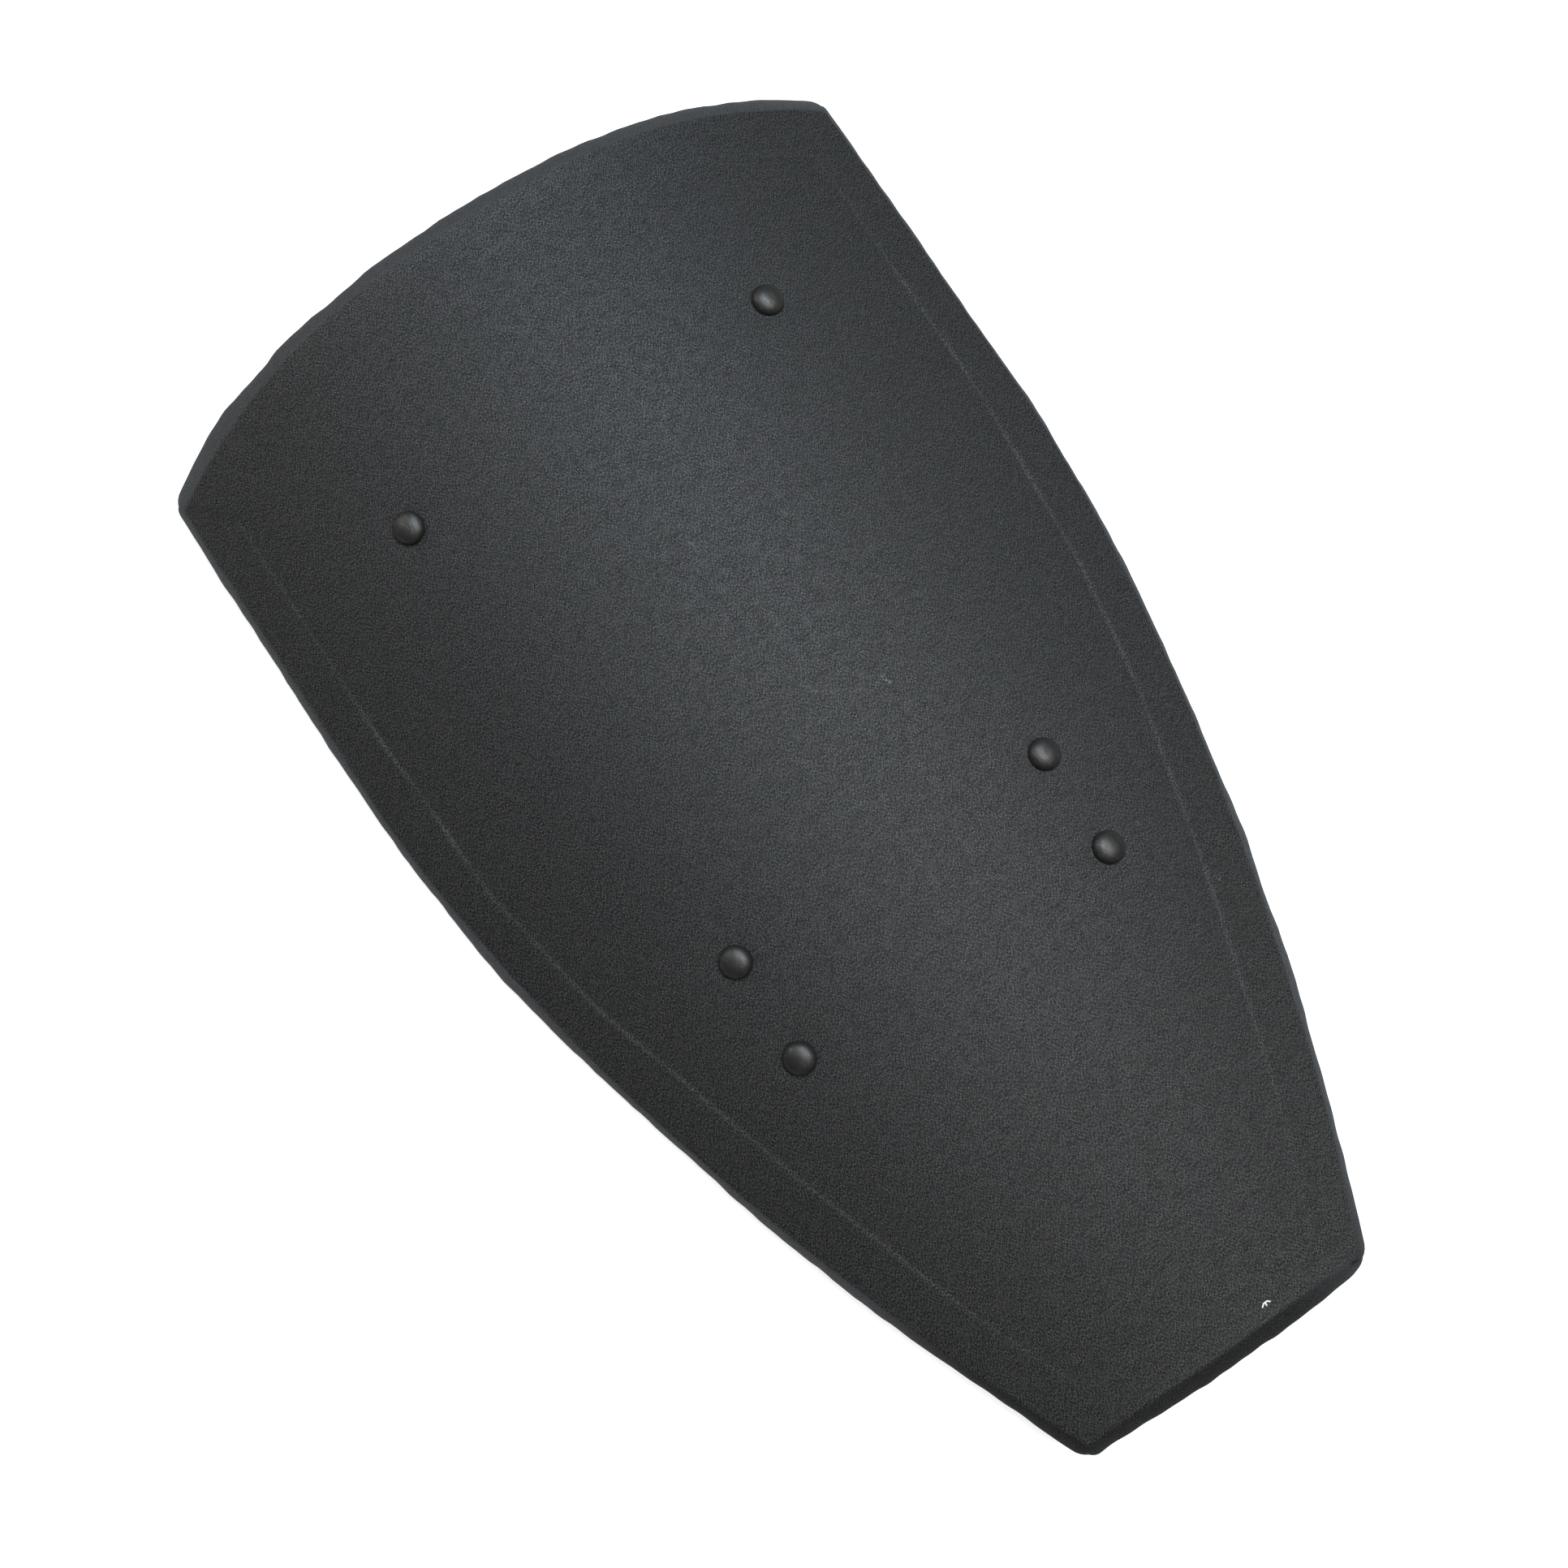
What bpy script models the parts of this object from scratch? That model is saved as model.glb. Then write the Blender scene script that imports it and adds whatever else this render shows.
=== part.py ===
"""A punch shield: a bent plywood board under glued canvas, with two straps riveted behind it.

The shield is drawn as a flat blank and then bent. On the blank, x runs across from the middle line, y runs
along it from the narrow foot to the arched head, and depth is measured down from the finished front face.
The finished shield lies front up, as it comes to rest on its two side edges: X across, Y towards the head,
Z up, with the origin on the floor under the middle of its box.
"""

import math

import bmesh
import bpy
from mathutils import Vector

# The finished blank, measured along the front face
LENGTH = 0.671
WIDTH = 0.427
FOOT_WIDTH = 0.1685
FLANK_START = 0.2165  # below the top of the head: the sides run straight down to here
FLANK_POWER = 1.707  # how the sides draw in from there: 1 is straight, 2 a parabola
ARCH_DROP = 0.028  # from the top of the head down to its corners
ARCH_POWER = 3.4
CORNER_RADIUS = 0.0075
CORNER_CUT = 0.15  # how much of that radius the one facet of a corner takes off each side

# The bend across the board: tightest on the middle line, and fading out towards the side edges
MIDDLE_BEND_RADIUS = 0.3576
BEND_REACH = 0.209  # from the middle line to where the board is straight
BEND_STEPS = 12

# The layers, from the front
CANVAS_THICKNESS = 0.0008
BOARD_THICKNESS = 0.011
HEM_WIDTH = 0.027  # how far the canvas is turned over the back
FRONT_ROUND = 0.009
BACK_ROUND = 0.003
GAP = 0.0003  # between pieces that touch
BACK_GAP = 0.0006  # the same on the hollow side, where flat facets stand proud of the curve

# The six rivets, seen from the front
GRIP_RIVET_DROP = 0.1207  # below the top of the head
GRIP_RIVET_SPREAD = 0.2144
ARM_RIVET_DROP = 0.3862
ARM_RIVET_PITCH = 0.0545
ARM_RIVET_SPREAD = 0.1815
HEAD_RADIUS = 0.0083
HEAD_HEIGHT = 0.0046
HEAD_LIP = 0.0007  # the upright wall below the dome
SHANK_RADIUS = 0.003
TAIL_RADIUS = 0.0052
TAIL_HEIGHT = 0.0024
HOLE_CLEARANCE = 0.0003
WASHER_RADIUS = 0.009
WASHER_THICKNESS = 0.0015

# The straps
LEATHER_THICKNESS = 0.004
GRIP_WIDTH = 0.038
GRIP_RISE = 0.038  # how far the middle of the strap stands off the board
ARM_STRAP_MARGIN = 0.0145  # from the rivets to the strap's long edges
ARM_RISE = 0.030
STRAP_END = 0.019  # from a rivet to the end of its strap
STRAP_FOOT = 0.022  # from a rivet to where the strap leaves the board
STRAP_BOW_POWER = 2.5
STRAP_CORNER = 0.012

# Facets
CELLS_ACROSS = 16
CELLS_ALONG = 20
RIM_CELL = 0.012  # the outermost row of cells
ROUND_STEPS = 3
TURNED_STEPS = 16
DOME_STEPS = 4
STRAP_CELLS = 16
STRAP_END_STEPS = 3
SHARP_ANGLE = math.radians(35)

# Densities, which only settle how the shield lies
PLYWOOD = 650.0
CANVAS = 500.0
STEEL = 7850.0
LEATHER = 900.0

LAYER = CANVAS_THICKNESS + GAP
RIM_THICKNESS = BOARD_THICKNESS + 2 * LAYER
BACK_FACE = LAYER + BOARD_THICKNESS
STRAP_FACE = BACK_FACE + BACK_GAP
WASHER_FACE = STRAP_FACE + LEATHER_THICKNESS + BACK_GAP
TAIL_FACE = WASHER_FACE + WASHER_THICKNESS + GAP
HOLE_RADIUS = SHANK_RADIUS + HOLE_CLEARANCE
ARM_STRAP_WIDTH = ARM_RIVET_PITCH + 2 * ARM_STRAP_MARGIN


# The shape of the blank and the bend

def slope_across(x):
    """The angle of the front face at x, from level on the middle line."""
    return x / MIDDLE_BEND_RADIUS * (1 - (x / BEND_REACH) ** 2 / 3)


def bend(x, y, depth):
    """Where a point of the blank goes when the board is bent: Simpson's rule along the arc."""
    step = x / BEND_STEPS
    across = 0.0
    drop = 0.0
    for index in range(BEND_STEPS + 1):
        weight = 1 if index in (0, BEND_STEPS) else 4 if index % 2 else 2
        across += weight * math.cos(slope_across(index * step))
        drop += weight * math.sin(slope_across(index * step))
    angle = slope_across(x)
    return Vector((across * step / 3 - depth * math.sin(angle), y, -drop * step / 3 - depth * math.cos(angle)))


def half_width(y, inset):
    """Half the blank's width at y, for an outline that lies inset from the real one."""
    flank = LENGTH - FLANK_START
    below = max(flank - y, 0.0) / flank
    draw_in = (WIDTH - FOOT_WIDTH) / 2
    slant = draw_in * FLANK_POWER * below ** (FLANK_POWER - 1) / flank
    return WIDTH / 2 - draw_in * below ** FLANK_POWER - inset * math.hypot(1, slant)


def blank_point(across, along, inset):
    """A point of the blank: across from -1 to 1 and along from 0 to 1, within an inset outline."""
    share = abs(across)
    slant = 2 * ARCH_DROP * ARCH_POWER * share ** (ARCH_POWER - 1) / WIDTH
    head = LENGTH - ARCH_DROP * share ** ARCH_POWER - inset * math.hypot(1, slant)
    y = inset + along * (head - inset)
    x = across * half_width(y, inset)
    if share == 1 and along in (0, 1):
        pull = CORNER_CUT * max(CORNER_RADIUS - inset, 0.0)
        x -= math.copysign(pull, across)
        y += pull if along == 0 else -pull
    return x, y


def graded(cells, length):
    """Shares from 0 to 1 of a length, with a cell of RIM_CELL at each end and even cells between."""
    rim = RIM_CELL / length
    inner = [rim + (1 - 2 * rim) * index / (cells - 2) for index in range(cells - 1)]
    return [0.0] + inner + [1.0]


# Building blocks

def material(name, colour, roughness, metallic):
    made = bpy.data.materials.new(name)
    made.use_nodes = True
    shader = made.node_tree.nodes["Principled BSDF"]
    shader.inputs["Base Color"].default_value = (*colour, 1)
    shader.inputs["Roughness"].default_value = roughness
    shader.inputs["Metallic"].default_value = metallic
    return made


def place(name, mesh, finish, group):
    """A new object of the shield, or of its cutters, on the empty that lays it down."""
    piece = bpy.data.objects.new(name, mesh)
    if finish and not mesh.materials:
        mesh.materials.append(finish)
    group.objects.link(piece)
    piece.parent = rest
    return piece


def wrapped(name, rings, finish):
    """A closed body in the form of the blank, extruded from ring to ring and then bent.

    Each ring is an inset and a depth. The first and last rings carry whole faces, and the others the rim.
    """
    mesh = bpy.data.meshes.new(name)
    bm = bmesh.new()
    columns = [2 * share - 1 for share in graded(CELLS_ACROSS, WIDTH)]
    rows = graded(CELLS_ALONG, LENGTH)
    bmesh.ops.create_grid(bm, x_segments=CELLS_ACROSS, y_segments=CELLS_ALONG, size=1)
    column = bm.verts.layers.int.new("column")
    row = bm.verts.layers.int.new("row")
    for vert in bm.verts:
        vert[column] = round((vert.co.x + 1) / 2 * CELLS_ACROSS)
        vert[row] = round((vert.co.y + 1) / 2 * CELLS_ALONG)
    moving = bm.verts[:]
    faces = bm.faces[:]
    for index, (inset, depth) in enumerate(rings):
        if index:
            grown = bmesh.ops.extrude_face_region(bm, geom=faces)["geom"]
            if index > 1:
                bmesh.ops.delete(bm, geom=faces, context="FACES")
            moving = [item for item in grown if isinstance(item, bmesh.types.BMVert)]
            faces = [item for item in grown if isinstance(item, bmesh.types.BMFace)]
        for vert in moving:
            x, y = blank_point(columns[vert[column]], rows[vert[row]], inset)
            vert.co = bend(x, y, depth)
    bmesh.ops.recalc_face_normals(bm, faces=bm.faces)
    bm.to_mesh(mesh)
    bm.free()
    mesh.shade_smooth()
    mesh.set_sharp_from_angle(angle=SHARP_ANGLE)
    return place(name, mesh, finish, shield)


def rounded_rim(below):
    """The rim's rings, from back to front, for a layer that lies below the finished surface."""
    rings = []
    for centre, radius, start in (
        (RIM_THICKNESS - BACK_ROUND, BACK_ROUND, math.radians(90)),
        (FRONT_ROUND, FRONT_ROUND, 0.0),
    ):
        for index in range(ROUND_STEPS + 1):
            angle = start - math.radians(90) * index / ROUND_STEPS
            reach = radius - below
            rings.append((radius - reach * math.cos(angle), centre + reach * math.sin(angle)))
    return rings


def turned(name, profile, finish):
    """The profile of a turned piece, as a mesh for a Screw modifier. A ring's profile ends where it starts."""
    mesh = bpy.data.meshes.new(name)
    is_ring = profile[0] == profile[-1]
    points = profile[:-1] if is_ring else profile
    edges = [(index, index + 1) for index in range(len(points) - 1)]
    if is_ring:
        edges.append((len(points) - 1, 0))
    mesh.from_pydata([(radius, 0, height) for radius, height in points], edges, [])
    mesh.materials.append(finish)
    return mesh


def screw(piece):
    spin = piece.modifiers.new("turned", "SCREW")
    spin.steps = TURNED_STEPS
    spin.render_steps = TURNED_STEPS
    spin.use_merge_vertices = True
    spin.merge_threshold = 0.00001


def stand_on_face(piece, x, y):
    """Sets a piece on the front face at a point of the blank, with its own Z along the face's normal."""
    piece.location = bend(x, y, 0)
    piece.rotation_euler = (0, slope_across(x), 0)


def drill(piece, cutters_through):
    for cutter in cutters_through:
        hole = piece.modifiers.new(cutter.name, "BOOLEAN")
        hole.operation = "DIFFERENCE"
        hole.solver = "EXACT"
        hole.object = cutter


# The pieces

def rivet_profile():
    """From the crown of the domed head down its outer side, along the shank, to the peened tail."""
    profile = []
    for index in range(DOME_STEPS + 1):
        angle = math.radians(90) * index / DOME_STEPS
        dome = HEAD_HEIGHT - HEAD_LIP
        profile.append((HEAD_RADIUS * math.sin(angle), GAP + HEAD_LIP + dome * math.cos(angle)))
    profile.append((HEAD_RADIUS, GAP))
    profile.append((SHANK_RADIUS, GAP))
    profile.append((SHANK_RADIUS, -TAIL_FACE))
    profile.append((TAIL_RADIUS, -TAIL_FACE))
    for index in range(1, ROUND_STEPS + 1):
        angle = math.radians(90) * index / ROUND_STEPS
        profile.append((TAIL_RADIUS * math.cos(angle), -TAIL_FACE - TAIL_HEIGHT * math.sin(angle)))
    profile[0] = (0.0, profile[0][1])
    profile[-1] = (0.0, profile[-1][1])
    return profile


def washer_profile():
    top = -WASHER_FACE
    bottom = top - WASHER_THICKNESS
    return [
        (HOLE_RADIUS, top), (WASHER_RADIUS, top), (WASHER_RADIUS, bottom), (HOLE_RADIUS, bottom), (HOLE_RADIUS, top),
    ]


def strap_columns(end, half):
    """The lines across a strap, as places along it with their half lengths: close together at its round corners."""
    corner = []
    for index in range(STRAP_END_STEPS + 1):
        turn = math.radians(90) * index / STRAP_END_STEPS
        corner.append((end - STRAP_CORNER * (1 - math.cos(turn)), half - STRAP_CORNER * (1 - math.sin(turn))))
    inner = end - STRAP_CORNER
    even = [(inner * (2 * index / STRAP_CELLS - 1), half) for index in range(1, STRAP_CELLS)]
    return sorted([(-x, reach) for x, reach in corner] + even + corner)


def strap(name, y, spread, width, rise, holes):
    """A leather strap from one rivet or pair to the other, flat at its ends and bowed off the board between."""
    free = spread / 2 - STRAP_FOOT
    columns = strap_columns(spread / 2 + STRAP_END, width / 2)
    mesh = bpy.data.meshes.new(name)
    bm = bmesh.new()
    count = len(columns) - 1
    bmesh.ops.create_grid(bm, x_segments=count, y_segments=2, size=1)
    for vert in bm.verts:
        x, half = columns[round((vert.co.x + 1) / 2 * count)]
        bow = (1 - min(abs(x) / free, 1.0) ** STRAP_BOW_POWER) ** 2
        vert.co = bend(x, y + vert.co.y * half, STRAP_FACE + rise * bow)
    bmesh.ops.recalc_face_normals(bm, faces=bm.faces)
    for face in bm.faces:
        if face.normal.z > 0:
            face.normal_flip()
    bm.to_mesh(mesh)
    bm.free()
    piece = place(name, mesh, leather, shield)
    hide = piece.modifiers.new("leather", "SOLIDIFY")
    hide.thickness = LEATHER_THICKNESS
    hide.offset = 1
    hide.use_even_offset = True
    drill(piece, holes)
    return piece


def balance_point(pieces):
    """The balance point of the finished pieces, from the volume of each and its material."""
    total = 0.0
    moment = Vector()
    graph = bpy.context.evaluated_depsgraph_get()
    for piece, density in pieces:
        mesh = piece.evaluated_get(graph).to_mesh()
        mesh.calc_loop_triangles()
        for triangle in mesh.loop_triangles:
            a, b, c = (piece.matrix_world @ mesh.vertices[index].co for index in triangle.vertices)
            mass = a.dot(b.cross(c)) / 6 * density
            total += mass
            moment += mass * (a + b + c) / 4
    return moment / total


def world_points(piece):
    mesh = piece.evaluated_get(bpy.context.evaluated_depsgraph_get()).to_mesh()
    return [piece.matrix_world @ vert.co for vert in mesh.vertices]


def resting_edge(points, centre):
    """The stretch of the underside, seen from the side, that carries the weight: its two ends."""
    hull = []
    for point in sorted((round(p.y, 7), round(p.z, 7)) for p in points):
        while len(hull) > 1:
            (ay, az), (by, bz) = hull[-2:]
            if (by - ay) * (point[1] - az) - (bz - az) * (point[0] - ay) > 0:
                break
            hull.pop()
        hull.append(point)
    for (ay, az), (by, bz) in zip(hull, hull[1:]):
        run, climb = by - ay, bz - az
        foot = ((centre.y - ay) * run + (centre.z - az) * climb) / (run * run + climb * climb)
        if foot <= 1:
            return (ay, az), (by, bz)
    raise ValueError("the balance point lies past the underside")


def lay_down(pieces):
    """Turns and moves the whole shield as it comes to rest, with the origin under the middle of its box."""
    bpy.context.view_layer.update()
    centre = balance_point(pieces)
    points = [point for piece, density in pieces for point in world_points(piece)]
    (ay, az), (by, bz) = resting_edge(points, centre)
    rest.rotation_euler.x = -math.atan2(bz - az, by - ay)
    bpy.context.view_layer.update()
    turned_points = [point for piece, density in pieces for point in world_points(piece)]
    ends = [point.y for point in turned_points]
    rest.location = (0, -(min(ends) + max(ends)) / 2, -min(point.z for point in turned_points))
    bpy.context.view_layer.update()


for old in list(bpy.data.objects):
    bpy.data.objects.remove(old, do_unlink=True)

shield = bpy.data.collections.new("punch_shield")
cutters = bpy.data.collections.new("cutters")
for group in (shield, cutters):
    bpy.context.scene.collection.children.link(group)

rest = bpy.data.objects.new("rest", None)
shield.objects.link(rest)

plywood = material("plywood", (0.35, 0.22, 0.12), 0.65, 0.0)
canvas = material("black canvas", (0.035, 0.037, 0.039), 0.85, 0.0)
steel = material("blackened steel", (0.09, 0.093, 0.1), 0.4, 0.9)
leather = material("black leather", (0.03, 0.025, 0.022), 0.6, 0.0)

grip_y = LENGTH - GRIP_RIVET_DROP
arm_upper_y = LENGTH - ARM_RIVET_DROP
arm_lower_y = arm_upper_y - ARM_RIVET_PITCH
rivet_places = {
    f"{row}_{side}": (sign * spread / 2, y)
    for row, spread, y in (
        ("grip", GRIP_RIVET_SPREAD, grip_y),
        ("arm_upper", ARM_RIVET_SPREAD, arm_upper_y),
        ("arm_lower", ARM_RIVET_SPREAD, arm_lower_y),
    )
    for side, sign in (("left", -1), ("right", 1))
}

rivet_mesh = turned("rivet", rivet_profile(), steel)
washer_mesh = turned("washer", washer_profile(), steel)
hole_depth = TAIL_FACE + HEAD_HEIGHT
weighed = []
hole_cutters = {}
for spot, (x, y) in rivet_places.items():
    for kind, mesh in (("rivet", rivet_mesh), ("washer", washer_mesh)):
        piece = place(f"{kind}_{spot}", mesh, None, shield)
        screw(piece)
        stand_on_face(piece, x, y)
        weighed.append((piece, STEEL))
    drill_mesh = bpy.data.meshes.new(f"drill_{spot}")
    bm = bmesh.new()
    bmesh.ops.create_cone(
        bm, cap_ends=True, segments=TURNED_STEPS, radius1=HOLE_RADIUS, radius2=HOLE_RADIUS, depth=2 * hole_depth,
    )
    bm.to_mesh(drill_mesh)
    bm.free()
    cutter = place(f"drill_{spot}", drill_mesh, None, cutters)
    cutter.hide_render = True
    cutter.display_type = "WIRE"
    stand_on_face(cutter, x, y)
    hole_cutters[spot] = cutter

# The plywood board, and the canvas that is glued over its front and turned over its back edge
board = wrapped("board", rounded_rim(LAYER), plywood)
hem = [(HEM_WIDTH, RIM_THICKNESS - CANVAS_THICKNESS), (HEM_WIDTH, RIM_THICKNESS)]
canvas_cover = wrapped("canvas_cover", list(reversed(rounded_rim(CANVAS_THICKNESS))) + hem + rounded_rim(0), canvas)
for piece in (board, canvas_cover):
    drill(piece, hole_cutters.values())

grip_strap = strap(
    "grip_strap", grip_y, GRIP_RIVET_SPREAD, GRIP_WIDTH, GRIP_RISE,
    [cutter for spot, cutter in hole_cutters.items() if spot.startswith("grip")],
)
forearm_strap = strap(
    "forearm_strap", (arm_upper_y + arm_lower_y) / 2, ARM_RIVET_SPREAD, ARM_STRAP_WIDTH, ARM_RISE,
    [cutter for spot, cutter in hole_cutters.items() if spot.startswith("arm")],
)

weighed += [(board, PLYWOOD), (canvas_cover, CANVAS), (grip_strap, LEATHER), (forearm_strap, LEATHER)]
lay_down(weighed)
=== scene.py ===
"""The finished look of a punch shield, built round its construction solids.

The shield is drawn on its flat blank, as the solids are, and then bent and laid down. On the blank, x runs across
from the middle line, y runs along it from the foot to the head, and depth is measured down from the front face.
"""

import contextlib
import itertools
import math

import bpy
import numpy as np
from mathutils import Matrix, Vector


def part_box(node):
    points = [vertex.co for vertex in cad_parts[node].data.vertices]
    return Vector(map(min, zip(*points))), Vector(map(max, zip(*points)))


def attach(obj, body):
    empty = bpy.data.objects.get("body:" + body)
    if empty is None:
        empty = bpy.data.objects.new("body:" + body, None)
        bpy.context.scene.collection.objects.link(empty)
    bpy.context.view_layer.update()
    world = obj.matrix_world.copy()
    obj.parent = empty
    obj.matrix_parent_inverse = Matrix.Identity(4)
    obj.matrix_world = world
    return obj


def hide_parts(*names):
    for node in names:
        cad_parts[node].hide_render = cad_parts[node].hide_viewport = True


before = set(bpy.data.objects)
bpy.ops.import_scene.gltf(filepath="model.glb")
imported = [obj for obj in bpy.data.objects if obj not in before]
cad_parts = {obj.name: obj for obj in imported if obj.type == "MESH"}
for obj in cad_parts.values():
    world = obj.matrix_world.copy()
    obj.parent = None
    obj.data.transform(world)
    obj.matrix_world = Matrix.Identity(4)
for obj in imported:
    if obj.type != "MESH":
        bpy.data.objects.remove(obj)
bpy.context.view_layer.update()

# The blank and its bend, as the solids have them
LENGTH = 0.671
WIDTH = 0.427
FOOT_WIDTH = 0.1685
FLANK_START = 0.2165
FLANK_POWER = 1.707
ARCH_DROP = 0.028
ARCH_POWER = 3.4
CORNER_RADIUS = 0.0075
MIDDLE_BEND_RADIUS = 0.3576
BEND_REACH = 0.209
BEND_STEPS = 12

# Its layers
CANVAS_THICKNESS = 0.0008
BOARD_THICKNESS = 0.011
GAP = 0.0003
BACK_GAP = 0.0006
LAYER = CANVAS_THICKNESS + GAP
RIM_THICKNESS = BOARD_THICKNESS + 2 * LAYER
BACK_FACE = LAYER + BOARD_THICKNESS
STRAP_FACE = BACK_FACE + BACK_GAP

# The rounding of the rim: it breaks off the face at a shoulder, rolls over to the side, and is wider at the ends
FLANK_SHOULDER = 0.0076
END_SHOULDER = 0.0105
SHOULDER_DEPTH = 0.0076
SHOULDER_POWER = 1.38  # 2 would be an ellipse, and 1 a chamfer
SHOULDER_STEPS = 10
CORNER_BLEND = 0.05  # how far from a corner one side's rounding turns into the other's
BACK_ROUND = 0.003
BACK_STEPS = 3

# The hand-cut edge wanders in fine waves: the share of their height, the length, how far each side shifts them, and
# how uneven they are
EDGE_WAVE_HEIGHT = 0.00036
EDGE_WAVES = [(0.42, 0.061, 1.0, 0), (0.30, 0.0365, 2.3, 0), (0.32, 0.0213, 3.1, 0), (0.34, 0.0148, 0.7, 1.5)]
# Where it stands further out or in on each side: the place along it, the length and the height
EDGE_SWELLS = {
    "left": [
        (0.045, 0.025, -0.0012), (0.225, 0.038, -0.0012), (0.342, 0.036, 0.0015), (0.505, 0.028, 0.0009),
        (0.585, 0.035, 0.0006),
    ],
    "right": [
        (0.130, 0.030, 0.0015), (0.198, 0.022, 0.0015), (0.345, 0.015, 0.0008), (0.408, 0.014, -0.0008),
        (0.500, 0.030, -0.0007),
    ],
    "head": [(-0.165, 0.014, 0.0010), (-0.130, 0.012, -0.0010), (-0.076, 0.014, -0.0011)],
    "foot": [(-0.050, 0.040, -0.0009), (0.062, 0.030, 0.0011)],
}

# The canvas hem behind, and the band of a second canvas layer that lies under the front along the rim
HEM_WIDTH = 0.027
BAND_AT_HEAD = 0.0312
BAND_AT_CORNERS = 0.0305
BAND_AT_WAIST = 0.0335
BAND_AT_FOOT = 0.0310
BAND_STEP = 0.0030
BAND_HEIGHT = 0.00034
BAND_BEAD = 0.00004
# Where the band is wider or narrower: the side, the place along it, the length and the difference
BAND_SWELLS = [
    (-1, 0.452, 0.028, 0.0020), (-1, 0.385, 0.022, -0.0018), (-1, 0.315, 0.030, -0.0010),
    (1, 0.420, 0.050, 0.0026), (1, 0.320, 0.040, 0.0010),
]
# Where its edge is rubbed grey: the side, from, to and the strength
BAND_RUBS = [
    (-1, 0.455, 0.490, 0.9), (-1, 0.400, 0.430, 1.0), (-1, 0.368, 0.388, 0.7), (-1, 0.270, 0.345, 0.5),
    (-1, 0.215, 0.255, 0.55), (-1, 0.100, 0.195, 0.3),
    (1, 0.508, 0.532, 0.8), (1, 0.465, 0.498, 0.6), (1, 0.385, 0.440, 0.85), (1, 0.342, 0.366, 0.95),
    (1, 0.290, 0.335, 0.7), (1, 0.225, 0.278, 0.6), (1, 0.140, 0.200, 0.4),
]
RUB_FADE = 0.012
FIELD_INSET = 0.043

# Rivets, washers and straps
GRIP_RIVET_DROP = 0.1207
GRIP_RIVET_SPREAD = 0.2144
ARM_RIVET_DROP = 0.3862
ARM_RIVET_PITCH = 0.0545
ARM_RIVET_SPREAD = 0.1815
HEAD_RADIUS = 0.0084
HEAD_HEIGHT = 0.0052
HEAD_STEPS = 12
SHANK_RADIUS = 0.003
TAIL_RADIUS = 0.0052
TAIL_HEIGHT = 0.0024
TAIL_STEPS = 5
HOLE_RADIUS = SHANK_RADIUS + GAP
DIMPLE_DEPTH = 0.0003  # how far a rivet presses into the canvas and the leather
WASHER_RADIUS = 0.009
WASHER_THICKNESS = 0.0015
LEATHER_THICKNESS = 0.004
GRIP_WIDTH = 0.038
GRIP_RISE = 0.038
ARM_STRAP_WIDTH = ARM_RIVET_PITCH + 0.029
ARM_RISE = 0.030
STRAP_END = 0.019
STRAP_FOOT = 0.022
STRAP_BOW_POWER = 2.5
STRAP_CORNER = 0.012
WASHER_FACE = STRAP_FACE + LEATHER_THICKNESS + BACK_GAP
TAIL_FACE = WASHER_FACE + WASHER_THICKNESS + GAP

# Threads of the canvas
WARP_PITCH = 0.000635
WEFT_PITCH = 0.00095
WARP_SKEW = 0.080
WEFT_SKEW = 0.047
CANVAS_RELIEF = 0.00028

# The camera: where it stands, the point that it looks at, and how far its top is turned from the head of the shield
CAMERA_PLACE = Vector((-0.07595, -0.07815, 0.74580))
CAMERA_TARGET = Vector((-0.02203, 0.00967, 0.03))
CAMERA_TURN = math.radians(34.158)
CAMERA_LENS = 33.54

# The light: each soft box's place, size, radiance and colour, and the light from all round
LIGHT_TARGET = Vector((0, 0, 0.05))
SOFT_BOXES = {
    "softbox over the middle": ((0.35, 0.0, 1.6), 0.6, 8.3, (1.0, 0.975, 0.915)),
    "softbox over the head": ((0.35, 0.6, 1.6), 0.6, 17.9, (0.66, 0.83, 0.985)),
    "softbox over the foot": ((0.56, -0.6, 1.6), 0.6, 10.9, (0.95, 0.98, 1.0)),
    "low fill": ((-0.98, 1.70, 1.43), 0.8, 5.6, (1.0, 0.93, 0.86)),
}
AMBIENT = 0.125
AMBIENT_COLOUR = (1.0, 0.95, 0.89)
WALL_SEEN = 0.95
WHITE = (1, 1, 1)
FLOOR_TONE = 0.60
FLOOR_GLOW = 0.75

# Columns and rows of the pieces that start as grids, and how near the border counts as on it
CANVAS_GRID = (116, 168)
BOARD_GRID = (60, 88)
STRAP_GRID = (150, 44)
ON_BORDER = 0.0001

GRIP_Y = LENGTH - GRIP_RIVET_DROP
ARM_UPPER_Y = LENGTH - ARM_RIVET_DROP
ARM_LOWER_Y = ARM_UPPER_Y - ARM_RIVET_PITCH
RIVET_PLACES = {
    f"{row}_{side}": (sign * spread / 2, y)
    for row, spread, y in (
        ("grip", GRIP_RIVET_SPREAD, GRIP_Y),
        ("arm_upper", ARM_RIVET_SPREAD, ARM_UPPER_Y),
        ("arm_lower", ARM_RIVET_SPREAD, ARM_LOWER_Y),
    )
    for side, sign in (("left", -1), ("right", 1))
}


# From the blank to the floor

def laid_down():
    """How the shield lies, read from its solids: the pitch from two rows of rivets, the rest from the canvas."""
    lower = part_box("rivet_arm_lower_left")[0]
    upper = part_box("rivet_arm_upper_left")[0]
    turn = Matrix.Rotation(math.atan2(upper.z - lower.z, upper.y - lower.y), 3, "X")
    points = read_points(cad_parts["canvas_cover"]) @ np.array(turn)
    shift = turn @ Vector((0, points[:, 1].min(), points[:, 2].max()))
    return Matrix.Translation(shift) @ turn.to_4x4()


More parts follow.
